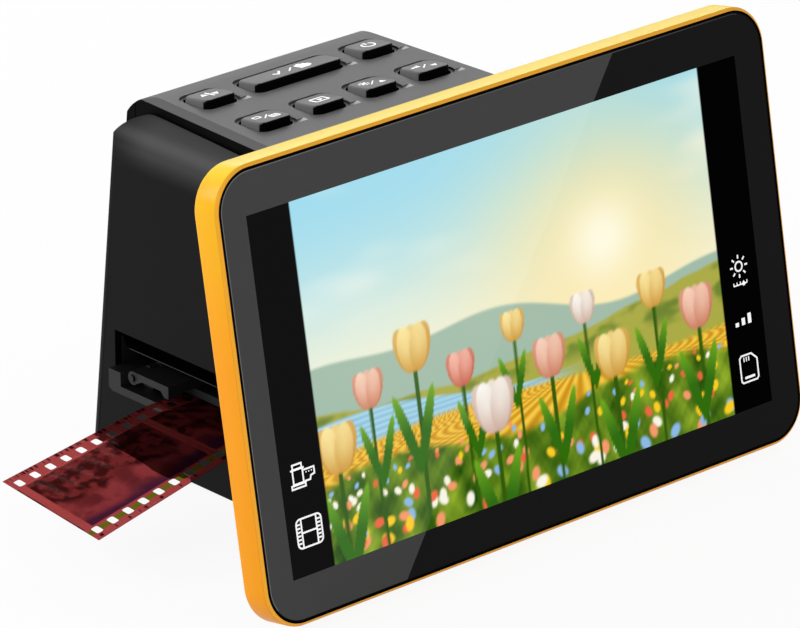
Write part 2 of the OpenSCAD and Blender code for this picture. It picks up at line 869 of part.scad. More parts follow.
// One push button: a cap that rises towards the front, a flange and a stem
module push_button(b) {
    w = b[1];
    d = b[2];
    front = body_h + button_front;
    back = body_h + button_back;
    translate([b[3], b[4], 0]) {
        intersection() {
            translate([0, 0, button_low]) linear_extrude(far) button_shape(w, d, 0);
            along_x(-w, w) polygon([[-d / 2 - over, 0], [d / 2 + over, 0],
                [d / 2, back], [-d / 2 + button_chamfer, front],
                [-d / 2, front - button_chamfer], [-d / 2 - over, front - button_chamfer]]);
            along_y(-d, d) polygon([[-w / 2, 0], [w / 2, 0], [w / 2, back],
                [w / 2 - (front - back), front], [-w / 2 + (front - back) / 2, front],
                [-w / 2, front - (front - back) / 2]]);
        }
        translate([0, 0, button_low]) linear_extrude(flange_t) button_shape(w, d, flange_w);
        translate([0, 0, button_low - stem_l]) cylinder(r = stem_r, h = stem_l + eps);
    }
}

module flip_button() { color([0.2, 0.2, 0.2]) push_button(BUTTONS[0]); }
module capture_button() { color([0.2, 0.2, 0.2]) push_button(BUTTONS[1]); }
module power_button() { color([0.2, 0.2, 0.2]) push_button(BUTTONS[2]); }
module film_type_button() { color([0.2, 0.2, 0.2]) push_button(BUTTONS[3]); }
module gallery_button() { color([0.2, 0.2, 0.2]) push_button(BUTTONS[4]); }
module up_button() { color([0.2, 0.2, 0.2]) push_button(BUTTONS[5]); }
module down_button() { color([0.2, 0.2, 0.2]) push_button(BUTTONS[6]); }

module button_board() {
    color("darkgreen") difference() {
        translate([-panel_boss_x - button_board_margin, row_front_y - button_board_reach,
            button_board_low])
            cube([2 * (panel_boss_x + button_board_margin),
                row_rear_y - row_front_y + 2 * button_board_reach, board_t]);
        for (x = [-panel_boss_x, 0, panel_boss_x]) translate([x, panel_boss_y, 0])
            cylinder(r = screw_r + screw_play, h = far);
    }
}

module key_switches() {
    color("gainsboro") for (b = BUTTONS) translate([b[3], b[4], button_board_top])
        difference() {
            translate([-switch_w / 2, -switch_w / 2, 0]) cube([switch_w, switch_w, switch_h]);
            translate([0, 0, switch_floor]) cylinder(r = stem_r + seat_gap, h = switch_h);
        }
}

module button_board_screws() {
    color("silver") for (x = [-panel_boss_x, 0, panel_boss_x])
        translate([x, panel_boss_y, button_board_low])
            screw(screw_r, board_t + button_screw_bite, screw_head_r, screw_head_h);
}

// ---------------------------------------------------------------- light and film gate

module led_board() {
    color("white") translate([-light_l / 2, -light_w / 2, base_top])
        cube([light_l, light_w, board_t]);
}

module light_leds() {
    color("lightyellow") for (x = [-1.5:1:1.5], y = [-1:1:1])
        translate([x * led_pitch - led_w / 2, y * led_pitch - led_w / 2, led_board_top])
            cube([led_w, led_w, led_t]);
}

module light_box() {
    color("white") difference() {
        translate([0, 0, led_board_top]) linear_extrude(light_box_top - led_board_top)
            rounded_rect(light_l, light_w, light_r);
        translate([0, 0, light_box_top / 2])
            cube([light_l - 2 * light_wall, light_w - 2 * light_wall, far], center = true);
        translate([light_ledge - light_l / 2, light_ledge - light_w / 2, light_box_top - diffuser_t])
            cube([light_l - 2 * light_ledge, light_w - 2 * light_ledge, far]);
    }
}

module diffuser() {
    rim = light_ledge + fit_gap;
    color("whitesmoke") translate([rim - light_l / 2, rim - light_w / 2, light_box_top - diffuser_t])
        cube([light_l - 2 * rim, light_w - 2 * rim, diffuser_t]);
}

// Floor and side guides of the film channel, on four legs
module film_gate() {
    color([0.1, 0.1, 0.1]) difference() {
        union() {
            translate([-gate_half_l, -slot_half - guide_t, light_box_top])
                cube([2 * gate_half_l, 2 * (slot_half + guide_t), gate_t]);
            for (s = [0, 1]) mirror([0, s, 0])
                translate([-gate_half_l, slot_half, channel_z - eps])
                    cube([2 * gate_half_l, guide_t, channel_h + jaw_drop + eps]);
            four_places(leg_x, leg_y) translate([0, 0, base_top])
                cylinder(r = leg_r, h = light_box_top + eps - base_top);
        }
        translate([0, 0, light_box_top - over]) linear_extrude(far)
            rounded_rect(gate_l, gate_w, gate_r);
        four_places(leg_x, leg_y) translate([0, 0, base_top - over])
            cylinder(r = screw_r + screw_clear, h = gate_bore + over);
    }
}

// Roof of the film channel, with a round lower rear edge
module upper_jaw() {
    half = slot_half - fit_gap;
    r = jaw_r;
    color([0.1, 0.1, 0.1]) difference() {
        union() {
            along_x(-jaw_half_l, jaw_half_l) {
                translate([-half, jaw_z + r]) square([2 * half, jaw_drop + eps - r]);
                translate([-half + r, jaw_z]) square([2 * (half - r), jaw_drop]);
                for (s = [-1, 1]) translate([s * (half - r), jaw_z + r]) circle(r);
            }
            translate([-jaw_half_l, -slot_half - guide_t, jaw_z + jaw_drop])
                cube([2 * jaw_half_l, 2 * (slot_half + guide_t), jaw_flange]);
            for (sx = [-1, 1], y = [standoff_front, standoff_rear])
                translate([sx * standoff_x, y, jaw_top - eps])
                    cylinder(r = standoff_r, h = main_board_z - jaw_top + eps);
        }
        translate([0, 0, jaw_z - over]) linear_extrude(far) rounded_rect(gate_l, gate_w, gate_r);
        for (sx = [-1, 1], y = [standoff_front, standoff_rear])
            translate([sx * standoff_x, y, main_board_z - standoff_bore])
                cylinder(r = screw_r + screw_clear, h = standoff_bore + over);
        four_places(flange_hole_x, flange_hole_y) translate([0, 0, jaw_top - standoff_bore])
            cylinder(r = screw_r + screw_clear, h = standoff_bore + over);
    }
}

// ---------------------------------------------------------------- camera

module camera_housing() {
    color([0.1, 0.1, 0.1]) difference() {
        union() {
            translate([0, 0, jaw_top]) linear_extrude(tunnel_h) rounded_rect(tunnel_l, tunnel_w, tunnel_r);
            translate([0, 0, jaw_top]) linear_extrude(tunnel_flange)
                rounded_rect(tunnel_flange_l, tunnel_w, tunnel_r);
        }
        translate([0, 0, jaw_top - over]) {
            linear_extrude(tunnel_h + over - tunnel_flange)
                rounded_rect(tunnel_l - 2 * tunnel_wall, tunnel_w - 2 * tunnel_wall, tunnel_r / 2);
            four_places(flange_hole_x, flange_hole_y)
                cylinder(r = screw_r + screw_play, h = tunnel_flange + 2 * over);
        }
        cylinder(r = lens_bore + lens_way, h = far);
    }
}

module camera_screws() {
    color("silver") four_places(flange_hole_x, flange_hole_y)
        translate([0, 0, jaw_top + tunnel_flange]) mirror([0, 0, 1])
            screw(screw_r, tunnel_flange + board_screw_bite, screw_head_r, screw_head_h);
}

module lens_holder() {
    color([0.15, 0.15, 0.15]) difference() {
        translate([0, 0, tunnel_top]) linear_extrude(holder_h)
            rounded_rect(holder_w, holder_w, holder_r);
        cylinder(r = lens_bore, h = far);
        four_places(holder_hole, holder_hole) translate([0, 0, holder_top - holder_bore])
            cylinder(r = screw_r + screw_clear, h = holder_bore + over);
    }
}

module lens_barrel() {
    color([0.08, 0.08, 0.08]) difference() {
        translate([0, 0, barrel_low]) cylinder(r = barrel_out_r, h = barrel_high - barrel_low);
        translate([0, 0, barrel_low - over]) cylinder(r = barrel_in_r, h = far);
        translate([0, 0, barrel_low - over]) cylinder(r = front_seat_r, h = front_seat + over);
        translate([0, 0, barrel_high - rear_seat]) cylinder(r = rear_seat_r, h = rear_seat + over);
    }
}

module front_lens() {
    color("lightcyan") translate([0, 0, barrel_low + front_lens_in]) intersection() {
        cylinder(r = front_seat_r - lens_play, h = front_lens_t);
        translate([0, 0, front_curve]) sphere(r = front_curve, $fn = 64);
    }
}

module rear_lens() {
    color("lightcyan") translate([0, 0, barrel_high - rear_seat]) intersection() {
        cylinder(r = rear_seat_r - lens_play, h = rear_lens_t);
        translate([0, 0, rear_lens_t - rear_curve]) sphere(r = rear_curve, $fn = 64);
    }
}

module image_sensor() {
    color("darkslategray") translate([-sensor_l / 2, -sensor_w / 2, holder_top - sensor_t])
        cube([sensor_l, sensor_w, sensor_t]);
}

module sensor_board() {
    color("darkgreen") difference() {
        translate([0, 0, holder_top]) linear_extrude(board_t)
            rounded_rect(holder_w, holder_w, holder_r);
        four_places(holder_hole, holder_hole) cylinder(r = screw_r + screw_play, h = far);
    }
}

module sensor_screws() {
    color("silver") four_places(holder_hole, holder_hole)
        translate([0, 0, holder_top + board_t]) mirror([0, 0, 1])
            screw(screw_r, board_t + board_screw_bite, screw_head_r, screw_head_h);
}

// ---------------------------------------------------------------- electronics

module main_board() {
    color("darkgreen") difference() {
        translate([-main_board_half, main_board_front, main_board_z])
            cube([2 * main_board_half, main_board_rear - main_board_front, board_t]);
        for (sx = [-1, 1], y = [standoff_front, standoff_rear])
            translate([sx * standoff_x, y, 0]) cylinder(r = screw_r + screw_play, h = far);
    }
}

module processor() {
    color([0.1, 0.1, 0.1]) for (c = CHIPS)
        translate([c[0], main_board_front + c[1], main_board_top]) cube([c[2], c[3], c[4]]);
}

// A sheet metal socket, open to the rear: s is its line of SOCKETS, lip its wall
// and tongue the size of the contact carrier inside
module socket(s, lip, tongue = [0, 0, 0]) {
    mouth = rear_at(rear_dist(core_rear), main_board_top + s[3]) - socket_mouth;
    translate([s[0], mouth - s[1], main_board_top]) {
        difference() {
            translate([-s[2] / 2, 0, 0]) cube([s[2], s[1], s[3]]);
            translate([-s[2] / 2 + lip, socket_back, lip])
                cube([s[2] - 2 * lip, s[1], s[3] - 2 * lip]);
        }
        if (tongue[0] > 0)
            translate([-tongue[0] / 2, socket_back - eps, (s[3] - tongue[2]) / 2]) cube(tongue);
    }
}

module card_socket() { color("silver") socket(SOCKETS[0], shell_t); }
module usb_c_socket() { color("silver") socket(SOCKETS[1], usb_shell_t, TONGUES[0]); }
module video_socket() { color("silver") socket(SOCKETS[2], shell_t, TONGUES[1]); }

module main_board_screws() {
    color("silver") for (sx = [-1, 1], y = [standoff_front, standoff_rear])
        translate([sx * standoff_x, y, main_board_top]) mirror([0, 0, 1])
            screw(screw_r, board_t + board_screw_bite, screw_head_r, screw_head_h);
}

// ---------------------------------------------------------------- film tray

module film_tray() {
    color([0.15, 0.15, 0.15]) difference() {
        union() {
            // Floor with a rail along each side, its lower corners cut
            along_x(-tray_half_l, tray_half_l) {
                half = [[0, tray_z], [tray_half - tray_cut_w, tray_z], [tray_half, tray_z + tray_cut_h],
                    [tray_half, tray_top + rail_h], [tray_half - rail_w, tray_top + rail_h],
                    [tray_half - rail_w, tray_top], [0, tray_top]];
                polygon(half);
                polygon(mirrored(half));
            }
            // Low ridges that guide the film's edges
            for (s = [0, 1]) mirror([0, s, 0])
                translate([-cover_half_l, film_w / 2 + seat_gap, tray_top - eps])
                    cube([2 * cover_half_l, ridge_w, ridge_h + eps]);
            // Lugs that carry the hinge pin
            for (s = [0, 1]) mirror([s, 0, 0]) along_x(lug_x - lug_w / 2, lug_x + lug_w / 2) {
                translate([hinge_y, hinge_z]) circle(barrel_r);
                translate([hinge_y - barrel_r, tray_top - eps])
                    square([2 * barrel_r, hinge_z - tray_top]);
            }
        }
        translate([0, 0, tray_z - over]) linear_extrude(tray_floor + 2 * over)
            rounded_rect(window_l, window_w2, window_r);
        translate([-far, hinge_y, hinge_z]) rotate([0, 90, 0]) cylinder(r = hinge_pin_r, h = 2 * far);
    }
}

module tray_cover() {
    plate_front = -tray_half + rail_w + seat_gap;
    color([0.2, 0.2, 0.2]) difference() {
        union() {
            difference() {
                translate([-cover_half_l, plate_front, cover_z])
                    cube([2 * cover_half_l, hinge_y - plate_front, cover_t]);
                translate([0, 0, cover_z - over]) linear_extrude(cover_t + 2 * over)
                    rounded_rect(window_l, window_w2, window_r);
            }
            // Hinge barrel along the rear edge
            along_x(-cover_half_l, cover_half_l) {
                translate([hinge_y, hinge_z]) circle(barrel_r);
                translate([hinge_y - barrel_r, cover_z]) square([barrel_r, hinge_z - cover_z]);
            }
            // Finger arms that reach out of the channel, each with a hook in front
            for (s = [0, 1]) mirror([s, 0, 0]) {
                along_x(arm_start, knuckle_x)
                    translate([arm_front, cover_top - eps])
                        square([arm_w - barrel_r - seat_gap, arm_top - cover_top]);
                along_x(knuckle_x - eps, arm_end) {
                    translate([hinge_y, hinge_z]) circle(barrel_r);
                    polygon([[arm_front, arm_top], [arm_front, arm_top - hook_h],
                        [arm_front + hook_w - hook_cut, arm_top - hook_h],
                        [arm_front + hook_w, arm_top - hook_h + hook_cut],
                        [arm_front + hook_w, arm_top - arm_t],
                        [hinge_y - nose_w, arm_top - arm_t],
                        [hinge_y, hinge_z - barrel_r], [hinge_y, arm_top]]);
                }
            }
        }
        translate([-far, hinge_y, hinge_z]) rotate([0, 90, 0])
            cylinder(r = hinge_pin_r + pin_clear, h = 2 * far);
    }
}

module tray_hinge_pin() {
    color("silver") translate([-arm_end - pin_proud, hinge_y, hinge_z]) rotate([0, 90, 0])
        cylinder(r = hinge_pin_r, h = 2 * (arm_end + pin_proud));
}

// ---------------------------------------------------------------- film

// Centre line of the film, from its right end to its hanging tip
FILM_LINE = concat([[film_right, film_z]],
    [for (i = [0:bend_n]) let (a = film_droop * i / bend_n)
        [film_left - bend_r * sin(a), film_z - bend_r * (1 - cos(a))]],
    [[film_left - bend_x - (film_out - bend_x) * cos(film_droop),
        film_z - bend_r * (1 - cos(film_droop)) - (film_out - bend_x) * sin(film_droop)]]);

// Where the film lies at distance s from its right end: x, z and slope
function film_at(s) = let (flat = film_right - film_left, b = s - flat,
        bend = bend_r * film_droop * PI / 180)
    b < 0 ? [film_right - s, film_z, 0]
    : b < bend ? let (a = b / bend_r * 180 / PI)
        [film_left - bend_r * sin(a), film_z - bend_r * (1 - cos(a)), a]
    : [film_left - bend_x - (b - bend) * cos(film_droop),
        film_z - bend_r * (1 - cos(film_droop)) - (b - bend) * sin(film_droop), film_droop];

module film_strip() {
    upper = [for (i = [len(FILM_LINE) - 1:-1:0]) FILM_LINE[i] + [0, film_t]];
    color([0.45, 0.08, 0.08]) difference() {
        along_y(-film_w / 2, film_w / 2) polygon(concat(FILM_LINE, upper));
        for (i = [0:perf_n - 1], side = [-1, 1]) {
            p = film_at((i + 0.5) * perf_pitch);
            translate([p[0], side * (film_w / 2 - perf_in), p[1]]) rotate([0, -p[2], 0])
                linear_extrude(perf_cut, center = true) rounded_rect(perf_l, perf_w, perf_r, $fn = 8);
        }
    }
}

display_frame();
display_glass();
lcd_panel();
display_board();
display_rear_cover();
display_screws();
display_mount_plate();
mount_screws();
ribbon_cable();
top_panel();
rear_panel();
left_shell();
right_shell();
base_plate();
base_screws();
rubber_feet();
flip_button();
capture_button();
power_button();
film_type_button();
gallery_button();
up_button();
down_button();
button_board();
key_switches();
button_board_screws();
led_board();
light_leds();
light_box();
diffuser();
film_gate();
upper_jaw();
camera_housing();
camera_screws();
lens_holder();
lens_barrel();
front_lens();
rear_lens();
image_sensor();
sensor_board();
sensor_screws();
main_board();
processor();
usb_c_socket();
video_socket();
card_socket();
main_board_screws();
film_tray();
tray_cover();
tray_hinge_pin();
film_strip();
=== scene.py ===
# %% [markdown]
# # A film negative scanner, dressed for its portrait
#
# The scanner stands on a table: a big display in a yellow bezel leans back on a narrow black
# body, seven push buttons lie on the body's top, and a film tray passes through its sides.
# Its bones are already there.

import json
import math

import bmesh
import bpy
import numpy as np
from mathutils import Matrix, Vector


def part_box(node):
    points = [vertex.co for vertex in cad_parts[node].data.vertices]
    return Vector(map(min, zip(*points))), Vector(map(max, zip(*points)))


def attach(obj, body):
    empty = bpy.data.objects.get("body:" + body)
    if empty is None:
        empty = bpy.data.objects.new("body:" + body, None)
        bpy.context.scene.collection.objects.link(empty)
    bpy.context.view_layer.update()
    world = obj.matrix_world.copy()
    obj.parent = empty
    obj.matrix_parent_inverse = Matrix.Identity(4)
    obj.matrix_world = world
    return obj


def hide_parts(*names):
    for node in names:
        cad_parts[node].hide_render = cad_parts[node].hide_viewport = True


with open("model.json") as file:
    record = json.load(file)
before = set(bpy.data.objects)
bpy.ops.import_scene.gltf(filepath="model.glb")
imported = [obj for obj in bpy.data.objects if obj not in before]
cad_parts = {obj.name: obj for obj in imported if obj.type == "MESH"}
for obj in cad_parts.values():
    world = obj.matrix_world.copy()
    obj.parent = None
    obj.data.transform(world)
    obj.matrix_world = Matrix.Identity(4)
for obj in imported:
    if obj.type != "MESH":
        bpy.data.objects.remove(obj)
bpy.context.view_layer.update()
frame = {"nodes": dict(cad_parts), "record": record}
MM = 0.001

# %% [markdown]
# ## The display's own plane
#
# The display leans back by 10.2 degrees. Everything on it is easier to draw in its own plane:
# `u` runs across, `v` up the slope and `w` towards the viewer, with zero in the middle of the
# glass. One matrix carries a finished piece from that plane to its place on the scanner.

# %% The display plane, worked out from the glass
TILT = math.radians(10.2)
GLASS_SLAB = 1.1 * MM
glass_low, glass_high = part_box("display_glass")
DISPLAY_CENTRE = Vector((0, (glass_low.y + glass_high.y - GLASS_SLAB * math.cos(TILT)) / 2,
                         (glass_low.z + glass_high.z + GLASS_SLAB * math.sin(TILT)) / 2))
IN_DISPLAY = Matrix.Translation(DISPLAY_CENTRE) @ Matrix.Rotation(math.pi / 2 - TILT, 4, "X")
print("display centre, mm:", [round(c / MM, 2) for c in DISPLAY_CENTRE])

# %% [markdown]
# ## Camera
#
# A long lens from the front left and a little above keeps the display's edges almost parallel,
# as in a catalogue picture.

# %% Camera
CAMERA_AT = Vector((-974.45, -1087.92, 640.24)) * MM
CAMERA_DOWN = math.radians(67.53)
CAMERA_YAW = math.radians(-42.34)
bpy.ops.object.camera_add(location=CAMERA_AT, rotation=(CAMERA_DOWN, 0, CAMERA_YAW))
camera = bpy.context.object
camera.name = "portrait_camera"
camera.data.lens = 296.5
camera.data.sensor_width = 36
bpy.context.scene.camera = camera
bpy.context.scene.view_settings.view_transform = "Standard"
print("camera's distance from the origin, m:", round(CAMERA_AT.length, 2))

# %% [markdown]
# ## Hands: the few moves that every piece needs
#
# Modelling by operator always goes the same way: pick some faces or edges, then act on them.
# `pick` does the choosing by place or direction, `round_plate` draws the outline that nearly
# every moulding starts from, and `place` bakes a finished piece to where it belongs, so that
# its object stays at the origin like the CAD nodes.

# %% Picking faces and edges
MODES = {"verts": "VERT", "edges": "EDGE", "faces": "FACE"}


def middle(element):
    return sum((v.co for v in element.verts), Vector()) / len(element.verts)


def pick(piece, kind, test):
    """In edit mode, selects only the verts, edges or faces that pass the test."""
    bpy.ops.mesh.select_all(action="DESELECT")
    bpy.ops.mesh.select_mode(type=MODES[kind])
    mesh = bmesh.from_edit_mesh(piece.data)
    chosen = [element for element in getattr(mesh, kind) if test(element)]
    for element in chosen:
        element.select_set(True)
    mesh.select_flush_mode()
    bmesh.update_edit_mesh(piece.data)
    return len(chosen)


def activate(piece):
    """In object mode, selects one piece alone and makes it the active one."""
    bpy.ops.object.select_all(action="DESELECT")
    bpy.context.view_layer.objects.active = piece
    piece.select_set(True)


def edit(piece):
    activate(piece)
    bpy.ops.object.mode_set(mode="EDIT")
    bpy.ops.mesh.select_all(action="SELECT")


def extrude(offset):
    bpy.ops.mesh.extrude_region_move(TRANSFORM_OT_translate={"value": offset})


# %% A plate to start from, and how far a point lies outside its outline
def round_plate(name, width, height, radius, z, segments=16):
    """A flat face with round corners, left in edit mode and selected."""
    bpy.ops.object.select_all(action="DESELECT")
    bpy.ops.mesh.primitive_plane_add(size=1, location=(0, 0, z))
    piece = bpy.context.object
    piece.name = name
    piece.scale = (width, height, 1)
    bpy.ops.object.transform_apply(location=True, rotation=False, scale=True)
    edit(piece)
    bpy.ops.mesh.bevel(affect="VERTICES", offset=radius, segments=segments)
    bpy.ops.mesh.select_all(action="SELECT")
    return piece


def rim_distance(point, width, height, radius):
    """How far a point lies outside a rectangle with round corners, in its plane."""
    qx = abs(point.x) - width / 2 + radius
    qy = abs(point.y) - height / 2 + radius
    outside = math.hypot(max(qx, 0), max(qy, 0))
    return outside + min(max(qx, qy), 0) - radius


print("middle of a plate 4 by 2, outside its outline:", rim_distance(Vector((0, 0)), 4, 2, 0.5))


# %% Placing, modifying and joining
def place(piece, matrix=Matrix.Identity(4), smooth=30):
    """Leaves edit mode, moves the mesh itself to its place and smooths it."""
    if bpy.context.mode != "OBJECT":
        bpy.ops.object.mode_set(mode="OBJECT")
    piece.data.transform(matrix @ piece.matrix_world)
    piece.matrix_world = Matrix.Identity(4)
    activate(piece)
    bpy.ops.object.shade_smooth_by_angle(angle=math.radians(smooth))
    return piece


def add_modifier(piece, kind, **settings):
    """Adds a modifier, sets it and applies it at once."""
    modifier = piece.modifiers.new(kind.lower(), kind)
    for name, value in settings.items():
        setattr(modifier, name, value)
    activate(piece)
    bpy.ops.object.modifier_apply(modifier=modifier.name)


def join(pieces, name):
    bpy.ops.object.select_all(action="DESELECT")
    for piece in pieces:
        piece.select_set(True)
    bpy.context.view_layer.objects.active = pieces[0]
    bpy.ops.object.join()
    pieces[0].name = name
    return pieces[0]


# %% [markdown]
# ## Wiring: how every finish is made
#
# A finish is a small network of nodes in front of one shader. By hand it is boxes and wires, and
# in writing it is the same three moves: add a node, set its values, and lead another node's
# output into its input. `add_node` does all three. What varies over a surface reads the
# object's own coordinates, so it stays on the part wherever the part moves.

# %% Adding and feeding nodes
def feed(tree, node, inputs):
    """Gives each input of a node a plain value or another node's output."""
    for name, value in inputs.items():
        if isinstance(value, bpy.types.NodeSocket):
            tree.links.new(value, node.inputs[name])
        else:
            node.inputs[name].default_value = value


def add_node(tree, kind, inputs, **settings):
    node = tree.nodes.new("ShaderNode" + kind)
    for name, value in settings.items():
        setattr(node, name, value)
    feed(tree, node, inputs)
    return node


def new_material(name):
    """A material, its node tree and its shader."""
    material = bpy.data.materials.new(name)
    material.use_nodes = True
    return material, material.node_tree, material.node_tree.nodes["Principled BSDF"]


# %% Noise, ramps and blends
def own_place(tree):
    return tree.nodes.new("ShaderNodeTexCoord").outputs["Object"]


def noise(tree, scale, detail, stretch=None):
    where = own_place(tree)
    if stretch:
        where = add_node(tree, "Mapping", {"Vector": where, "Scale": stretch}).outputs["Vector"]
    return add_node(tree, "TexNoise", {"Vector": where, "Scale": scale,
                                       "Detail": detail}).outputs["Fac"]


def ramp(tree, value, low, high, start=0.0, end=1.0, kind="SMOOTHSTEP"):
    """Runs from start to end while the value runs from low to high."""
    return add_node(tree, "MapRange", {"Value": value, "From Min": low, "From Max": high,
                                       "To Min": start, "To Max": end},
                    interpolation_type=kind).outputs["Result"]


def between(tree, share, start, end):
    """Follows a share from 0 to 1 evenly, from start to end."""
    return ramp(tree, share, 0.0, 1.0, start, end, "LINEAR")


def blend(tree, share, below, above):
    """One colour where the share is 0 and the other where it is 1."""
    below, above = [colour if isinstance(colour, bpy.types.NodeSocket) else (*colour, 1)
                    for colour in (below, above)]
    return add_node(tree, "Mix", {"Factor": share, "A": below, "B": above},
                    data_type="RGBA").outputs["Result"]


# %% [markdown]
# ## Moulded plastic
#
# Most of the scanner is injection-moulded plastic, and most of its look is in three small
# things: a fine spark-eroded grain that only shows in a highlight, a slow drift of gloss where
# hands have polished it, and edges that are never quite sharp. The first two are noise at two
# scales. The third is real geometry on the outer mouldings, and on the small CAD parts behind
# them the Bevel node rounds the shading by about a tenth of a millimetre.
#
# Three of the plastics also change over the part, with light and shade painted into their
# colour. The bezel's yellow is amber low on its sides, painted gold higher up where more light
# falls, and lemon on top as a painted highlight. The black shells have a painted grey sheen that
# fades down from their shoulders and round their rear, and the tray is darker where it looks up,
# with painted shade.

# %% A plastic with grain, drift and soft edges
GRAIN_SCALE = 3800
GRAIN_HEIGHT = 0.02 * MM
DRIFT_SCALE = 28


def plastic(name, colour, roughness, specular=0.5, grain=0.02, drift=0.08, edge=0.0, lighter=1.12):
    material, tree, shader = new_material(name)
    drifting = noise(tree, DRIFT_SCALE, 3)
    bump = add_node(tree, "Bump", {"Strength": grain * 10, "Distance": GRAIN_HEIGHT,
                                   "Height": noise(tree, GRAIN_SCALE, 2)})
    if edge > 0:
        rounding = add_node(tree, "Bevel", {"Radius": edge})
        feed(tree, bump, {"Normal": rounding.outputs["Normal"]})
    feed(tree, shader, {
        "Base Color": blend(tree, drifting, colour, [min(1, c * lighter) for c in colour]),
        "Roughness": between(tree, drifting, roughness - drift / 2, roughness + drift / 2),
        "Specular IOR Level": specular,
        "Normal": bump.outputs["Normal"]})
    return material


# %% The plastics of the outer parts
shell_black = plastic("shell_black", (0.0025, 0.0025, 0.0027), 0.42, specular=0.065, grain=0.03)
# Painted shade: this black goes where shade falls, in gaps, holes, flanks, slots and the caps'
# fronts.
deep_black = plastic("deep_black", (0.0015, 0.0015, 0.0015), 0.45, specular=0.02, grain=0.03)
panel_grey = plastic("panel_grey", (0.098, 0.098, 0.099), 0.45, specular=0.06, grain=0.03,
                     drift=0.02, lighter=1.04)
# The scoops' light grey is a painted highlight.
scoop_grey = plastic("scoop_grey", (0.30, 0.30, 0.30), 0.4, specular=0.2, grain=0.02)
button_grey = plastic("button_grey", (0.125, 0.125, 0.126), 0.40, specular=0.06, grain=0.015,
                      drift=0.02, lighter=1.04)
tray_black = plastic("tray_black", (0.021, 0.021, 0.021), 0.42, specular=0.12, grain=0.04)
bezel_yellow = plastic("bezel_yellow", (0.81, 0.300, 0.0078), 0.34, specular=0.10, grain=0.012,
                       lighter=1.02)
# The lip's orange copy of the bezel plastic is painted shade for the front, which gets less light.
bezel_amber = plastic("bezel_amber", (0.99, 0.445, 0.036), 0.3, specular=0.10, grain=0.012,
                      lighter=1.02)
plain_black = shell_black.copy()
plain_black.name = "plain_black"
print("materials so far:", len(bpy.data.materials))

# %% How a second colour lies over a part
def at(tree, axis):
    """Where a point lies on the object along X, Y or Z."""
    return add_node(tree, "SeparateXYZ", {"Vector": own_place(tree)}).outputs[axis]


def facing(tree, axis):
    """How far the surface looks along X, Y or Z, from -1 to 1."""
    normal = tree.nodes.new("ShaderNodeNewGeometry").outputs["Normal"]
    return add_node(tree, "SeparateXYZ", {"Vector": normal}).outputs[axis]


def calculate(tree, operation, *values):
    return add_node(tree, "Math", dict(enumerate(values)), operation=operation).outputs[0]


def turn(material, colour, share):
    """Lets a plastic's own colour turn to another by a share."""
    tree, shader = material.node_tree, material.node_tree.nodes["Principled BSDF"]
    own_colour = shader.inputs["Base Color"].links[0].from_socket
    feed(tree, shader, {"Base Color": blend(tree, share, own_colour, colour)})


# %% Painted light on the bezel, gold and lemon, and painted shade on the tray's top
PAINTED_GOLD_LIGHT = (0.80, 0.415, 0.0088)
PAINTED_LEMON_HIGHLIGHT = (0.90, 0.655, 0.045)
TRAY_TOP_SHADE = (0.004, 0.004, 0.004)
BEZEL_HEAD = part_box("display_frame")[1].z
GOLD_LIGHT_STARTS = BEZEL_HEAD - 50 * MM
GOLD_LIGHT_ENDS = BEZEL_HEAD - 2 * MM

tree = bezel_yellow.node_tree
# Painted light: the bezel turns gold higher up, and lemon where it faces up as a painted highlight.
turn(bezel_yellow, PAINTED_GOLD_LIGHT, ramp(tree, at(tree, "Z"), GOLD_LIGHT_STARTS, GOLD_LIGHT_ENDS))
turn(bezel_yellow, PAINTED_LEMON_HIGHLIGHT, ramp(tree, facing(tree, "Z"), 0.55, 1.0))
tree = tray_black.node_tree
# Painted shade: the tray's faces that look up turn darker.
turn(tray_black, TRAY_TOP_SHADE, ramp(tree, facing(tree, "Z"), 0.5, 0.9))
print("the bezel turns to gold from, to, mm:", [round(z / MM, 1) for z in (GOLD_LIGHT_STARTS, GOLD_LIGHT_ENDS)])

# %% Painted sheen on the shells
PAINTED_SHOULDER_SHEEN = (0.044, 0.044, 0.045)
SHELL_REAR, SHELL_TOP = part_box("left_shell")[1].yz
SHOULDER_SHEEN_REACH = 13 * MM
SHOULDER_SHEEN_STARTS = SHELL_TOP - SHOULDER_SHEEN_REACH
SHOULDER_SHEEN_FULL = SHELL_TOP - SHOULDER_SHEEN_REACH / 3
FADING_STARTS = SHELL_REAR - 24 * MM
FADING_ENDS = SHELL_REAR - 6 * MM
REARWARD = (0.05, 0.65)


def painted_sheen_near_top(material):
    """A painted grey sheen towards the top of a shell that fades, with the gloss, round its rear.
    """
    tree, shader = material.node_tree, material.node_tree.nodes["Principled BSDF"]
    high = ramp(tree, at(tree, "Z"), SHOULDER_SHEEN_STARTS, SHOULDER_SHEEN_FULL)
    forward = ramp(tree, facing(tree, "Y"), *REARWARD, 1.0, 0.0)
    ahead = ramp(tree, at(tree, "Y"), FADING_STARTS, FADING_ENDS, 1.0, 0.0)
    not_behind = calculate(tree, "MULTIPLY", forward, ahead)
    turn(material, PAINTED_SHOULDER_SHEEN, calculate(tree, "MULTIPLY", high, not_behind))
    gloss = shader.inputs["Roughness"].links[0].from_socket
    dull_behind = ramp(tree, facing(tree, "Y"), *REARWARD, 0.0, 0.95)
    feed(tree, shader, {"Roughness": calculate(tree, "MAXIMUM", gloss, dull_behind)})


# Painted highlight: a grey sheen on the shells' shoulders, fading down and round their rear.
painted_sheen_near_top(shell_black)
print("the shells' bloom starts at, mm:", round(SHOULDER_SHEEN_STARTS / MM, 1))

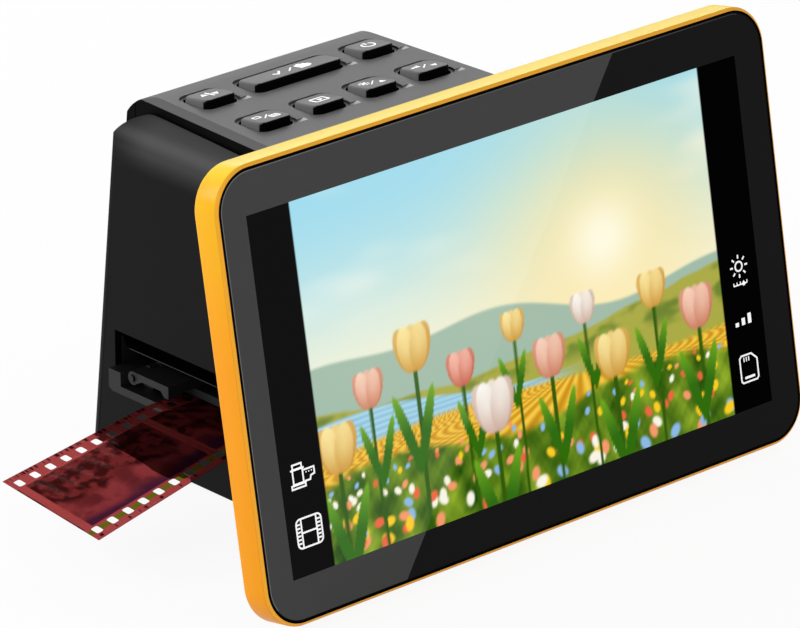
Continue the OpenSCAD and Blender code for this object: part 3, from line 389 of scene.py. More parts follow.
# %% [markdown]
# ## The bezel
#
# The bezel is one yellow ring, 8 mm deep, that ends level with the glass. A ring could be
# lofted, but a maker would rather press it out of one plate: inset the outline for the lip,
# sink the middle to the glass seat, inset again for the shelf that carries the glass, sink that
# through, and then pull the outer wall down and close the back. A narrow chamfer runs round the
# front in a more orange tone, painted shade for the front, which gets less light, and the fine
# gap round the glass is painted shade.

# %% Giving faces their finish
def dress(piece, *materials):
    piece.data.materials.clear()
    for material in materials:
        piece.data.materials.append(material)


def paint_faces(piece, index, test):
    """In edit mode, gives the faces that pass the test the material of one slot."""
    count = pick(piece, "faces", test)
    piece.active_material_index = index
    bpy.ops.object.material_slot_assign()
    return count


# %% Sizes of the bezel
BEZEL_WIDTH = 173.0 * MM
BEZEL_HEIGHT = 108.7 * MM
BEZEL_RADIUS = 10.6 * MM
BEZEL_DEPTH = 8.0 * MM
LIP_WIDTH = 0.8 * MM
LIP_PROUD = 0.1 * MM
LIP_CHAMFER = 0.6 * MM
LIP_ROUND = 0.14 * MM
SHELF_WIDTH = 2.65 * MM
SNAP = 0.02 * MM


def bezel_rim(element):
    return rim_distance(middle(element), BEZEL_WIDTH, BEZEL_HEIGHT, BEZEL_RADIUS)


print("bezel, mm:", round(BEZEL_WIDTH / MM, 1), "x", round(BEZEL_HEIGHT / MM, 1))

# %% The ring, pressed out of one plate
bezel = round_plate("bezel", BEZEL_WIDTH, BEZEL_HEIGHT, BEZEL_RADIUS, LIP_PROUD, segments=20)
bpy.ops.mesh.inset(thickness=LIP_WIDTH)
extrude((0, 0, -LIP_PROUD - GLASS_SLAB))
bpy.ops.mesh.inset(thickness=SHELF_WIDTH)
extrude((0, 0, LIP_PROUD + GLASS_SLAB - BEZEL_DEPTH))
bpy.ops.mesh.delete(type="ONLY_FACE")
pick(bezel, "edges", lambda e: e.is_boundary and middle(e).z > 0)
extrude((0, 0, -BEZEL_DEPTH))
pick(bezel, "edges", lambda e: e.is_boundary)
bpy.ops.mesh.bridge_edge_loops()
bpy.ops.mesh.select_all(action="SELECT")
bpy.ops.mesh.normals_make_consistent(inside=False)
BEVELS = [  # how far inside the rim, height, width, segments
    (0, LIP_PROUD - BEZEL_DEPTH, 0.9 * MM, 5), (0, LIP_PROUD, LIP_CHAMFER, 1),
    (0, LIP_PROUD - LIP_CHAMFER, LIP_ROUND, 3), (-LIP_CHAMFER, LIP_PROUD, 0.06 * MM, 2),
    (-LIP_WIDTH, LIP_PROUD, 0.06 * MM, 2)]
for inside, height, width, segments in BEVELS:
    count = pick(bezel, "edges", lambda e: abs(bezel_rim(e) - inside) < SNAP
                 and all(abs(v.co.z - height) < SNAP for v in e.verts))
    bpy.ops.mesh.bevel(affect="EDGES", offset=width, segments=segments)
    print("edges bevelled by", round(width / MM, 2), "mm:", count)

# %% The bezel's finishes and its place
# Painted shade: the lip takes the orange shaded copy, and the seat and inner walls the shade black.
dress(bezel, bezel_yellow, bezel_amber, deep_black)
lips = paint_faces(bezel, 1, lambda f: middle(f).z > -LIP_CHAMFER and bezel_rim(f) < -LIP_ROUND)
paint_faces(bezel, 2, lambda f: middle(f).z > -GLASS_SLAB - SNAP
            and bezel_rim(f) < SNAP / 2 - LIP_WIDTH)
place(bezel, IN_DISPLAY)
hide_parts("display_frame")
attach(bezel, "root")
print("bezel faces:", len(bezel.data.polygons), "of them lip:", lips)

# %% [markdown]
# ## The glass and the picture area
#
# A touch-panel style cover is one sheet of glass: black print round the edge, and a clear
# window over the picture. The sheet starts as a round plate with a fine chamfer and two narrow
# rings: a dark one of painted shade, and a hair line of ground glass with a painted highlight
# where it catches the light. Its middle is replaced by a grid that is dense enough to carry a
# picture as a colour attribute, one colour per point, so no image file is needed.

# %% Sizes of the glass and the picture area
GLASS_WIDTH = 170.7 * MM
GLASS_HEIGHT = 106.4 * MM
GLASS_RADIUS = 9.45 * MM
GLASS_CHAMFER = 0.1 * MM
DARK_RIM = 0.3 * MM
LIGHT_RIM = 0.22 * MM
AREA_WIDTH = 154.2 * MM
AREA_HEIGHT = 85.9 * MM
AREA_CENTRE = Vector((-0.8, -0.25, 0)) * MM
COLUMNS = 358
ROWS = 200
print("one point of the grid, mm:", round(AREA_WIDTH / COLUMNS / MM, 2))

# %% Cover glass with a picture grid in it
glass = round_plate("cover_glass", GLASS_WIDTH, GLASS_HEIGHT, GLASS_RADIUS, -GLASS_CHAMFER)
bpy.ops.mesh.inset(thickness=GLASS_CHAMFER)
bpy.ops.transform.translate(value=(0, 0, GLASS_CHAMFER))
bpy.ops.mesh.inset(thickness=DARK_RIM)
bpy.ops.mesh.inset(thickness=LIGHT_RIM)
bpy.ops.mesh.delete(type="ONLY_FACE")
pick(glass, "edges", lambda e: e.is_boundary and middle(e).z < -GLASS_CHAMFER / 2)
extrude((0, 0, GLASS_CHAMFER - GLASS_SLAB))
bpy.ops.mesh.edge_face_add()
bpy.ops.object.mode_set(mode="OBJECT")
bpy.ops.object.select_all(action="DESELECT")
bpy.ops.mesh.primitive_grid_add(x_subdivisions=COLUMNS, y_subdivisions=ROWS, size=1,
                                location=AREA_CENTRE)
area = bpy.context.object
area.scale = (AREA_WIDTH, AREA_HEIGHT, 1)
bpy.ops.object.transform_apply(location=True, rotation=False, scale=True)
glass = join([glass, area], "cover_glass")
edit(glass)
pick(glass, "edges", lambda e: e.is_boundary)
bpy.ops.mesh.fill(use_beauty=True)
bpy.ops.mesh.select_all(action="SELECT")
bpy.ops.mesh.normals_make_consistent(inside=False)
print("faces of the glass:", len(bmesh.from_edit_mesh(glass.data).faces))

# %% [markdown]
# ## Painting the picture
#
# The display shows somebody's summer slide. The one painted here is nobody's: a low sun over
# hills, a lake, a golden field and tulips close by. It is built like a stage set, from the back
# to the front. Every layer is a colour and a mask, and a mask is a soft threshold on a formula,
# so the whole picture is a page of arithmetic on the grid's points.

# %% Brushes
painter = np.random.default_rng(7)


def soft(low, high, value):
    t = np.clip((value - low) / (high - low), 0, 1)
    return t * t * (3 - 2 * t)


def lay(canvas, colour, mask):
    """Lays one colour, or one colour per point, over the canvas where the mask is 1."""
    return canvas + (np.asarray(colour) - canvas) * np.clip(mask, 0, 1)[:, None]


def cloudy(x, y, octaves=4):
    """Smooth noise between 0 and 1: sine waves of random direction, finer and fainter."""
    total, weight = np.zeros_like(x), 0
    for octave in range(octaves):
        size = 2.0 ** octave
        for _ in range(4):
            angle, phase = painter.uniform(0, 2 * math.pi, 2)
            wave = np.sin((x * math.cos(angle) + y * math.sin(angle)) * size * 6 + phase)
            total += wave / size
            weight += 1 / size
    return 0.5 + 0.9 * total / weight


def ellipse(x, y, centre, radii, angle, blur=0.08):
    """1 inside a turned ellipse, 0 outside, with a soft rim."""
    dx, dy = x - centre[0], y - centre[1]
    along = dx * math.cos(angle) + dy * math.sin(angle)
    across = dy * math.cos(angle) - dx * math.sin(angle)
    reach = np.hypot(along / radii[0], across / radii[1])
    return 1 - soft(1 - blur, 1 + blur, reach), reach, along / radii[0]


print("a soft edge, from 0 to 1:", soft(0, 1, np.linspace(0, 1, 5)))


# %% One tulip
def tulip(canvas, x, y, centre, size, lean, colour):
    """A stem, two leaves and a cup of five petals."""
    top_x, top_y = centre
    drop = top_y - y
    stem_x = top_x + lean * drop * drop * 0.8
    stem = (1 - soft(0.05 * size, 0.09 * size, np.abs(x - stem_x))) * soft(0, 0.01, drop)
    canvas = lay(canvas, (0.20, 0.36, 0.07), stem)
    for side in (-1, 1):
        foot = (top_x + side * 0.32 * size + lean * 0.3, top_y - 1.75 * size)
        leaf, reach, along = ellipse(x, y, foot, (1.15 * size, 0.17 * size),
                                     math.pi / 2 - side * 0.32)
        green = np.stack([0.20 + 0.25 * along.clip(0, 1), 0.42 + 0.25 * along.clip(0, 1),
                          0.10 + 0.05 * along], axis=1)
        canvas = lay(canvas, green, leaf)
    dark = np.array(colour) * (0.72, 0.55, 0.5)
    light = 1 - (1 - np.array(colour)) * 0.45
    for shift, swing, shade in ((-0.30, 0.30, 0.55), (0.30, -0.30, 0.45), (0, 0, 0.8),
                                (-0.20, 0.14, 1.0), (0.20, -0.14, 0.9)):
        petal, reach, along = ellipse(x, y, (top_x + shift * size, top_y + 0.42 * size),
                                      (0.62 * size, 0.30 * size), math.pi / 2 + swing)
        tone = np.clip(shade * (0.35 + 0.65 * (0.5 + 0.5 * along)) + 0.15 * (1 - reach), 0, 1)
        canvas = lay(canvas, dark + (light - dark) * tone[:, None], petal)
    return canvas


# %% Where the tulips stand: across, up, size, lean and colour
BLOOMS = [(0.98, 0.80, 0.16), (0.96, 0.60, 0.42), (0.98, 0.96, 0.90), (0.55, 0.72, 0.90),
          (0.93, 0.40, 0.26)]
TULIPS = [(0.98, 0.42, 0.072, 0.06, 2), (0.72, 0.44, 0.070, -0.05, 0), (0.19, 0.40, 0.085, 0.05, 1),
          (0.52, 0.37, 0.080, 0.10, 4), (1.24, 0.40, 0.085, -0.06, 0), (0.84, 0.31, 0.095, 0.04, 1),
          (0.36, 0.46, 0.105, -0.06, 0), (1.07, 0.25, 0.105, 0.03, 0), (1.40, 0.30, 0.10, -0.04, 1),
          (0.62, 0.22, 0.12, -0.03, 2), (0.06, 0.26, 0.11, 0.04, 0)]
print("tulips:", len(TULIPS))

# %% The picture, from the sky to the front row
PICTURE_WIDTH = 129.0 * MM
PICTURE_ASPECT = 1.5


def paint(x, y):
    """Colours at points x (0 to 1.5) and y (0 to 1)."""
    haze = cloudy(x * 0.6, y * 1.2)
    canvas = np.ones((len(x), 3)) * (0.60, 0.85, 0.94)
    canvas = lay(canvas, (0.99, 0.96, 0.84), 1 - soft(0.35, 1.0, y))
    cloud = soft(0.52, 0.86, cloudy(x * 0.55, y * 1.7)) * soft(0.55, 0.8, y)
    canvas = lay(canvas, (1.0, 0.99, 0.95), 0.75 * cloud)
    sun = np.hypot(x - 1.08, (y - 0.62) * 1.15)
    canvas = lay(canvas, (1.0, 0.90, 0.62), 0.8 * np.exp(-(sun / 0.42) ** 2))
    canvas = lay(canvas, (1.0, 0.99, 0.90), np.exp(-(sun / 0.13) ** 2))
    far_hills = 0.50 + 0.045 * np.sin(x * 3.1 + 0.6) + 0.022 * np.sin(x * 8.3 + 2)
    canvas = lay(canvas, (0.62, 0.73, 0.66), soft(0, 0.012, far_hills - y))
    near_hills = 0.42 + 0.05 * np.sin(x * 2.3 + 3.4) + 0.012 * cloudy(x * 3, y * 0)
    canvas = lay(canvas, (0.66, 0.66, 0.28), soft(0, 0.010, near_hills - y))
    woods = soft(0.45, 0.7, cloudy(x * 3.2, y * 5)) * soft(0, 0.02, near_hills - y)
    canvas = lay(canvas, (0.33, 0.45, 0.17), 0.7 * woods * soft(0.30, 0.36, y))
    lake_shore = 0.37 + 0.018 * np.sin(x * 5 + 1) - 0.05 * soft(0.2, 0.9, x)
    lake = soft(0, 0.01, lake_shore - y) * soft(-0.01, 0.01, y - 0.255 - 0.03 * np.sin(x * 4))
    ripples = 0.5 + 0.5 * np.sin(y * 420 + 6 * cloudy(x, y * 8))
    water = np.stack([0.52 + 0.16 * ripples, 0.74 + 0.10 * ripples, 0.86 + 0.05 * ripples], axis=1)
    canvas = lay(canvas, water, lake * (1 - soft(0.75, 1.0, x)))
    depth = np.clip(0.31 - y, 0.01, 1)
    rows = 0.5 + 0.5 * np.sin((x - 0.95) / depth * 9)
    field = np.stack([0.80 + 0.17 * rows, 0.56 + 0.24 * rows, 0.13 + 0.16 * rows], axis=1)
    canvas = lay(canvas, field, soft(0, 0.02, 0.29 + 0.02 * np.sin(x * 3.7) - y))
    meadow_edge = 0.21 + 0.03 * np.sin(x * 6.5) + 0.02 * cloudy(x * 6, y * 6)
    tuft = cloudy(x * 7, y * 5, 5)
    meadow = np.stack([0.12 + 0.46 * tuft, 0.27 + 0.42 * tuft, 0.05 + 0.14 * tuft], axis=1)
    canvas = lay(canvas, meadow, soft(0, 0.03, meadow_edge - y))
    for _ in range(150):
        spot = (painter.uniform(0, PICTURE_ASPECT), painter.uniform(0.0, 0.22))
        size = 0.006 + 0.018 * (0.24 - spot[1]) / 0.24
        bloom, reach, along = ellipse(x, y, spot, (size, size * 0.7), painter.uniform(0, 3), 0.3)
        tone = BLOOMS[painter.integers(len(BLOOMS))]
        canvas = lay(canvas, tone, bloom)
    for *centre, size, lean, tone in TULIPS:
        canvas = tulip(canvas, x, y, centre, size, lean, BLOOMS[tone])
    return lay(canvas, (1.0, 0.93, 0.72), 0.10 * haze * soft(0.2, 0.6, y))


# %% [markdown]
# The window is wider than the slide, so the picture stands between two black bars. A slanting
# painted sheen, a painted reflection as from a tall window, crosses the whole panel and makes
# its left side brighter. It is written once as a line in the display's plane and used again for
# the black print.

# %% The painted sheen
SHEEN_AT = -3.4 * MM
SHEEN_SLOPE = 0.7775
SHEEN_ON_BARS = 0.0055
SHEEN_ON_PICTURE = 0.018
print("the sheen leans by, degrees:", round(math.degrees(math.atan(SHEEN_SLOPE)), 1))

# %% Painting the grid's points
bpy.ops.object.mode_set(mode="OBJECT")
points = np.empty(len(glass.data.vertices) * 3)
glass.data.vertices.foreach_get("co", points)
points = points.reshape(-1, 3)
picture_x = (points[:, 0] - AREA_CENTRE.x) / PICTURE_WIDTH * PICTURE_ASPECT + PICTURE_ASPECT / 2
picture_y = (points[:, 1] - AREA_CENTRE.y) / AREA_HEIGHT + 0.5
print("painting", len(points), "points")
painted = paint(picture_x, picture_y)
lit = np.clip(painted, 0, 1) ** 2.2
bars = np.abs(points[:, 0] - AREA_CENTRE.x) > PICTURE_WIDTH / 2
# Painted reflection: left of the sheen line, light is added to the picture and to the bars.
sheen = points[:, 0] < SHEEN_AT + SHEEN_SLOPE * points[:, 1]
lit[bars] = 0
lit += np.where(bars, SHEEN_ON_BARS, SHEEN_ON_PICTURE)[:, None] * sheen[:, None]
colours = glass.data.attributes.new("slide", "FLOAT_COLOR", "POINT")
opaque = np.ones((len(lit), 1))
colours.data.foreach_set("color", np.hstack([lit, opaque]).astype(np.float32).ravel())

# %% [markdown]
# ## Four finishes on one sheet
#
# The picture area gives light of its own, so its colours go to the emission and the surface
# above them is nearly black glass. The printed border gives none. Its painted sheen comes from
# the same line as the picture's, read from the object's own coordinates. The ground edge is a
# painted highlight that darkens from left to right, and the rim outside it is painted shade,
# the same deep black as the gap in the bezel.

# %% Picture, black print with a painted sheen, and the ground edge's painted highlight
# Painted reflection: the black print is lighter left of the sheen line.
PRINT_IN_SHEEN = (0.068, 0.068, 0.068)
PRINT_OUT_OF_SHEEN = (0.0065, 0.0065, 0.0065)

lit_picture, tree, shader = new_material("lit_picture")
slide = add_node(tree, "Attribute", {}, attribute_name="slide")
feed(tree, shader, {"Base Color": (0, 0, 0, 1), "Roughness": 0.06, "Specular IOR Level": 0.006,
                    "Emission Color": slide.outputs["Color"], "Emission Strength": 1})

black_print, tree, shader = new_material("black_print")
slope = SHEEN_SLOPE / math.cos(TILT)
sheen_ends = calculate(tree, "MULTIPLY_ADD", at(tree, "Z"), slope,
                       SHEEN_AT - slope * DISPLAY_CENTRE.z)
in_sheen = calculate(tree, "LESS_THAN", at(tree, "X"), sheen_ends)
feed(tree, shader, {"Base Color": blend(tree, in_sheen, PRINT_OUT_OF_SHEEN, PRINT_IN_SHEEN),
                    "Roughness": between(tree, noise(tree, 60, 4), 0.04, 0.10),
                    "Specular IOR Level": 0.04})

ground_edge, tree, shader = new_material("ground_edge")
fading = ramp(tree, at(tree, "X"), -GLASS_WIDTH / 2, GLASS_WIDTH / 2, 0.19, 0.02, "LINEAR")
feed(tree, shader, {"Base Color": fading, "Roughness": 0.5, "Specular IOR Level": 0.2})
print("glass finishes:", lit_picture.name, black_print.name, ground_edge.name)


# %% Which face of the glass gets which finish
SPARE = 0.001 * MM


def in_area(face):
    point = middle(face) - AREA_CENTRE
    return (abs(point.x) < AREA_WIDTH / 2 - SPARE and abs(point.y) < AREA_HEIGHT / 2 - SPARE
            and point.z > -SNAP)


def glass_rim(face):
    return rim_distance(middle(face), GLASS_WIDTH, GLASS_HEIGHT, GLASS_RADIUS)


def lit_edge(face):
    """A painted highlight: a hair line along the left and the top of the ground edge."""
    point = middle(face)
    return (DARK_RIM < -glass_rim(face) - GLASS_CHAMFER < DARK_RIM + LIGHT_RIM
            and face.normal.z > 0.9 and point.y / GLASS_HEIGHT - point.x / GLASS_WIDTH > 0.03)


# Painted shade: the chamfer, the dark ring and the glass's sides take the shade black of the gap.
def dark_edge(face):
    return -glass_rim(face) < GLASS_CHAMFER + DARK_RIM


dress(glass, black_print, lit_picture, ground_edge, deep_black)
edit(glass)
print("picture faces:", paint_faces(glass, 1, in_area))
print("ground edge faces:", paint_faces(glass, 2, lit_edge))
print("dark edge faces:", paint_faces(glass, 3, dark_edge))
place(glass, IN_DISPLAY, smooth=20)
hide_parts("display_glass")
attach(glass, "root")
print("glass faces:", len(glass.data.polygons))

# %% [markdown]
# ## White print
#
# The symbols on the screen and on the buttons are line drawings. Each line is a flat curve,
# given a little height, turned into a mesh, and widened to the pen's width by a Solidify
# modifier, which also mitres its corners. Dots, discs and triangles are circles of few or many
# corners, filled and extruded. All the symbols are generic ones, and there is no lettering.

# %% Pens
INK = 0.05 * MM


def line(points, width, closed=False):
    """A stroke through points given in millimetres, standing on z = 0."""
    curve = bpy.data.curves.new("stroke", "CURVE")
    curve.dimensions = "2D"
    curve.fill_mode = "NONE"
    curve.extrude = INK / 2
    spline = curve.splines.new("POLY")
    spline.points.add(len(points) - 1)
    for corner, (x, y) in zip(spline.points, points):
        corner.co = (x * MM, y * MM, INK / 2, 1)
    spline.use_cyclic_u = closed
    stroke = bpy.data.objects.new("stroke", curve)
    bpy.context.scene.collection.objects.link(stroke)
    activate(stroke)
    bpy.ops.object.convert(target="MESH")
    stroke = bpy.context.object
    add_modifier(stroke, "SOLIDIFY", thickness=width * MM, offset=0, use_even_offset=True)
    return stroke


def dot(centre, radius, corners=24, turn=0):
    """A filled disc, or a triangle or square when it has few corners."""
    bpy.ops.object.select_all(action="DESELECT")
    bpy.ops.mesh.primitive_circle_add(vertices=corners, radius=radius * MM, fill_type="NGON",
                                      location=(centre[0] * MM, centre[1] * MM, 0),
                                      rotation=(0, 0, math.radians(turn)))
    disc = bpy.context.object
    edit(disc)
    extrude((0, 0, INK))
    bpy.ops.object.mode_set(mode="OBJECT")
    bpy.ops.object.transform_apply(location=True, rotation=True, scale=True)
    return disc


def arc(centre, radius, start, end, steps=20):
    return [(centre[0] + radius * math.cos(math.radians(start + (end - start) * i / steps)),
             centre[1] + radius * math.sin(math.radians(start + (end - start) * i / steps)))
            for i in range(steps + 1)]


def box_path(left, bottom, right, top, radius):
    """The outline of a rectangle with round corners."""
    corners = [(right - radius, top - radius, 0), (left + radius, top - radius, 90),
               (left + radius, bottom + radius, 180), (right - radius, bottom + radius, 270)]
    return [point for x, y, start in corners for point in arc((x, y), radius, start, start + 90, 4)]


def sun_rays(centre, inner, outer, width):
    """Eight short strokes round a centre."""
    ways = [(math.cos(i * math.pi / 4), math.sin(i * math.pi / 4)) for i in range(8)]
    return [line([(centre[0] + inner * x, centre[1] + inner * y),
                  (centre[0] + outer * x, centre[1] + outer * y)], width) for x, y in ways]


print("points of a round box:", len(box_path(0, 0, 4, 2, 0.5)))

# %% White ink
# The emission is the display's own light for the screen's symbols, and a painted glow on the caps'
# print.
white_ink, tree, shader = new_material("white_ink")
feed(tree, shader, {"Base Color": (0.86, 0.86, 0.86, 1),
                    "Roughness": between(tree, noise(tree, 700, 2), 0.42, 0.6),
                    "Emission Color": (1, 1, 1, 1), "Emission Strength": 0.35})
print("nodes of the ink:", len(tree.nodes))

# %% [markdown]
# On the screen: a film cartridge with its leader and a film frame on the left bar, and on the
# right bar a sun with a brightness scale under it, a level of three steps, and a memory card.

# %% Symbols on the left bar
PEN = 0.42
ON_GLASS = 0.01 * MM
symbols = [
    line([(-74.1, -16.9), (-71.4, -16.9), (-71.4, -18.0), (-74.1, -18.0)], PEN, closed=True),
    line([(-74.8, -18.1), (-70.7, -18.1)], PEN),
    line([(-74.2, -18.3), (-74.2, -21.5), (-71.2, -21.5), (-71.2, -18.3)], PEN),
    line([(-74.8, -21.7), (-70.7, -21.7), (-70.7, -22.5), (-74.8, -22.5)], PEN, closed=True),
    line([(-70.9, -18.7), (-67.8, -18.7), (-67.8, -20.3), (-68.9, -20.5), (-69.2, -21.4),
          (-70.9, -21.4)], PEN),
    line(box_path(-75.1, -36.6, -67.6, -29.7, 1.2), PEN, closed=True),
    line([(-73.6, -29.9), (-73.6, -36.4)], PEN), line([(-69.1, -29.9), (-69.1, -36.4)], PEN),
    line([(-73.5, -33.1), (-69.2, -33.1)], PEN)]
symbols += [dot((-70.2 + 0.8 * i, -19.4), 0.22, corners=4, turn=45) for i in range(3)]
symbols += [line([(x, -30.9 - 0.9 * i), (x + 0.95, -30.9 - 0.9 * i)], 0.4)
            for x in (-74.9, -68.9) for i in range(6)]
print("strokes and dots on the left bar:", len(symbols))

# %% Symbols on the right bar
SUN = (70.1, -7.9)
symbols.append(line(arc(SUN, 1.15, 0, 345, 23), PEN, closed=True))
symbols += sun_rays(SUN, 1.95, 2.85, PEN)
symbols.append(line([(67.9, -12.4), (72.3, -12.4)], 0.3))
symbols += [line([(67.9 + 1.1 * i, -12.4), (67.9 + 1.1 * i, -11.7)], 0.3) for i in range(5)]
symbols.append(dot((71.2, -12.4), 0.5))
symbols += [line([(67.6 + 2.1 * i, -22.4), (67.6 + 2.1 * i, -21.4 + 0.75 * i)], 1.1)
            for i in range(3)]
symbols.append(line([(67.1, -30.4), (67.7, -29.8), (71.0, -29.8), (72.8, -31.4), (72.8, -36.0),
                     (72.3, -36.5), (67.6, -36.5), (67.1, -36.0)], PEN, closed=True))
symbols += [line([(68.5 + 0.8 * i, -30.3), (68.5 + 0.8 * i, -31.4)], 0.3) for i in range(3)]
symbols.append(line([(68.3, -35.4), (71.6, -35.4)], 0.6))
print("strokes and dots in all:", len(symbols))

# %% All the screen's symbols as one piece
screen_symbols = join(symbols, "screen_symbols")
dress(screen_symbols, white_ink)
place(screen_symbols, IN_DISPLAY @ Matrix.Translation((0, 0, ON_GLASS)))
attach(screen_symbols, "root")
print("symbol faces:", len(screen_symbols.data.polygons))

# %% [markdown]
# ## Push buttons
#
# Each cap is a wedge: flush with the panel at its rear edge and nearly two millimetres proud at
# the front, so a finger finds it. One function models a cap of any size from a round plate:
# extrude the flange that keeps it in its hole, inset, extrude the cap, shrink its top face a
# little for the mould's draft, lower the rear of it, and bevel its rim. A stem under it reaches
# for the switch. The cap's front is painted black as shade, so it takes a second material.

# %% Sizes of the caps
PANEL_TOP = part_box("top_panel")[1].z
FLANGE = 1.0 * MM
FLANGE_THICK = 0.8 * MM
CAP_RADIUS = 2.2 * MM
CAP_FRONT = 1.8 * MM
CAP_BACK = 0.5 * MM
STEM_HALF = 1.4 * MM
STEM_LENGTH = 1.8 * MM
RIM_BEVEL = 0.45 * MM
DRAFT = 0.2 * MM
print("top of the panel, mm:", round(PANEL_TOP / MM, 2))


# %% Button caps
def button_cap(node):
    low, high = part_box(node)
    width = high.x - low.x - 2 * FLANGE
    depth = high.y - low.y - 2 * FLANGE
    bottom = low.z + STEM_LENGTH
    cap = round_plate(node.replace("button", "cap"), width + 2 * FLANGE, depth + 2 * FLANGE,
                      CAP_RADIUS + FLANGE, bottom, segments=8)
    extrude((0, 0, FLANGE_THICK))
    bpy.ops.mesh.inset(thickness=FLANGE)
    extrude((0, 0, PANEL_TOP + CAP_FRONT - bottom - FLANGE_THICK))
    bpy.ops.transform.resize(value=(1 - 2 * DRAFT / width, 1 - 2 * DRAFT / depth, 1))
    mesh = bmesh.from_edit_mesh(cap.data)
    for vertex in mesh.verts:
        if vertex.select:
            share = (vertex.co.y + depth / 2) / depth
            vertex.co.z -= (CAP_FRONT - CAP_BACK) * share
    bmesh.update_edit_mesh(cap.data)
    bpy.ops.mesh.region_to_loop()
    bpy.ops.mesh.bevel(affect="EDGES", offset=RIM_BEVEL, segments=3)
    pick(cap, "faces", lambda f: middle(f).z < bottom + SNAP and f.normal.z < -0.9)
    bpy.ops.mesh.inset(thickness=depth / 2 + FLANGE - STEM_HALF)
    extrude((0, 0, -STEM_LENGTH))
    dress(cap, button_grey, deep_black)
    # Painted shade: the faces at the cap's front take the shade black.
    paint_faces(cap, 1, lambda f: f.normal.y < -0.45 and middle(f).z > bottom + FLANGE_THICK)
    centre = ((low.x + high.x) / 2, (low.y + high.y) / 2, 0)
    place(cap, Matrix.Translation(centre), smooth=35)
    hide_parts(node)
    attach(cap, node + "_body")
    return cap


BUTTONS = sorted(name for name in frame["nodes"] if name.endswith("_button"))
for node_name in BUTTONS:
    cap = button_cap(node_name)
    print(cap.name, "faces:", len(cap.data.polygons))

# %% [markdown]
# ## Symbols on the caps
#
# The print lies on the sloping top, so it is drawn flat round the cap's centre and then tilted
# with it. The large button takes a tick and a camera, and the others a split symbol or a single
# one, all drawn with the same two pens.

# %% What each cap shows
FINE = 0.34
PRINT_SCALE = 1.25
SLASH = [(-0.9, -0.85), (0.9, 0.85)]
SMALL_SUN = (-1.5, 0.75)
CAMERA_BOXES = [((3.1, -0.1), 1.75), ((3.1, 1.1), 0.7), ((4.35, -0.1), 0.85)]


def cap_symbol(name):
    if name == "power":
        return [line(arc((0, 0), 1.35, 125, 415, 24), FINE), line([(0, 0.5), (0, 1.7)], FINE)]
    if name == "capture":
        return [line([(-4.3, 0.1), (-3.5, -0.8), (-2.0, 1.0)], 0.45), line(SLASH, 0.3),
                *[dot(centre, size, corners=4, turn=45) for centre, size in CAMERA_BOXES]]
    if name == "gallery":
        return [line(box_path(-1.6, -1.15, 1.6, 1.15, 0.3), FINE, closed=True),
                dot((0.05, 0), 0.75, corners=3, turn=-90)]
    if name == "flip":
        return [dot((-1.3, 0.3), 0.95, corners=3), dot((1.2, -0.2), 0.95, corners=3, turn=180),
                line([(0, -1.4), (0, 1.6)], 0.3)]
    if name == "film_type":
        return [line(box_path(-2.4, 0.2, -0.9, 1.4, 0.2), 0.25, closed=True), line(SLASH, 0.25),
                line(box_path(0.5, -1.5, 2.4, -0.1, 0.2), 0.25, closed=True),
                line([(1.1, -1.4), (1.1, -0.2)], 0.2), line([(1.8, -1.4), (1.8, -0.2)], 0.2)]
    arrow = dot((1.7, -0.9), 0.85, corners=3, turn=0 if name == "up" else 180)
    if name == "up":
        return [*sun_rays(SMALL_SUN, 0.75, 1.15, 0.22), dot(SMALL_SUN, 0.5), line(SLASH, 0.25),
                arrow]
    return [line([(-2.4 + 0.75 * i, 0.35), (-2.4 + 0.75 * i, 1.0 + 0.25 * i)], 0.4)
            for i in range(3)] + [line(SLASH, 0.25), arrow]


# %% Cap symbols
for node_name in BUTTONS:
    low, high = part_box(node_name)
    fall = math.atan2(CAP_FRONT - CAP_BACK, high.y - low.y - 2 * FLANGE)
    centre = ((low.x + high.x) / 2, (low.y + high.y) / 2, PANEL_TOP + (CAP_FRONT + CAP_BACK) / 2)
    on_cap = Matrix.Translation(centre) @ Matrix.Rotation(-fall, 4, "X")
    symbol = join(cap_symbol(node_name.replace("_button", "")),
                  node_name.replace("button", "symbol"))
    dress(symbol, white_ink)
    place(symbol, on_cap @ Matrix.Diagonal((PRINT_SCALE, PRINT_SCALE, 1, 1)))
    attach(symbol, node_name + "_body")
    print(symbol.name, "faces:", len(symbol.data.polygons))

# %% [markdown]
# ## The body's mouldings
#
# The side shells, the panel with its wells and the rear are already exact in the CAD parts, with
# their true arcs. What a CAD solid lacks is the broken edge that every mould leaves, and that
# edge is what catches the light. So each visible moulding is taken as a copy, its loose
# triangles are welded and merged back to whole faces, and a Bevel modifier rounds only its
# sharp edges. Weighted normals then keep the flat faces flat, so that all the shading lies in
# the narrow edges.

# %% Softening one moulding
SAME_PLACE = 0.001 * MM
FLAT = math.radians(0.4)
SHARP_FROM = 32


def copy_of(node, name):
    """A copy of a CAD part with its own mesh, welded and left in edit mode."""
    piece = frame["nodes"][node].copy()
    piece.data = piece.data.copy()
    piece.name = name
    bpy.context.scene.collection.objects.link(piece)
    edit(piece)
    bpy.ops.mesh.remove_doubles(threshold=SAME_PLACE)
    return piece


def soften(node, name, width, segments=3):
    piece = copy_of(node, name)
    bpy.ops.mesh.dissolve_limited(angle_limit=FLAT)
    bpy.ops.object.mode_set(mode="OBJECT")
    add_modifier(piece, "BEVEL", width=width, segments=segments, limit_method="ANGLE",
                 angle_limit=math.radians(SHARP_FROM), harden_normals=False)
    place(piece, smooth=SHARP_FROM)
    add_modifier(piece, "WEIGHTED_NORMAL", keep_sharp=True)
    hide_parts(node)
    return piece


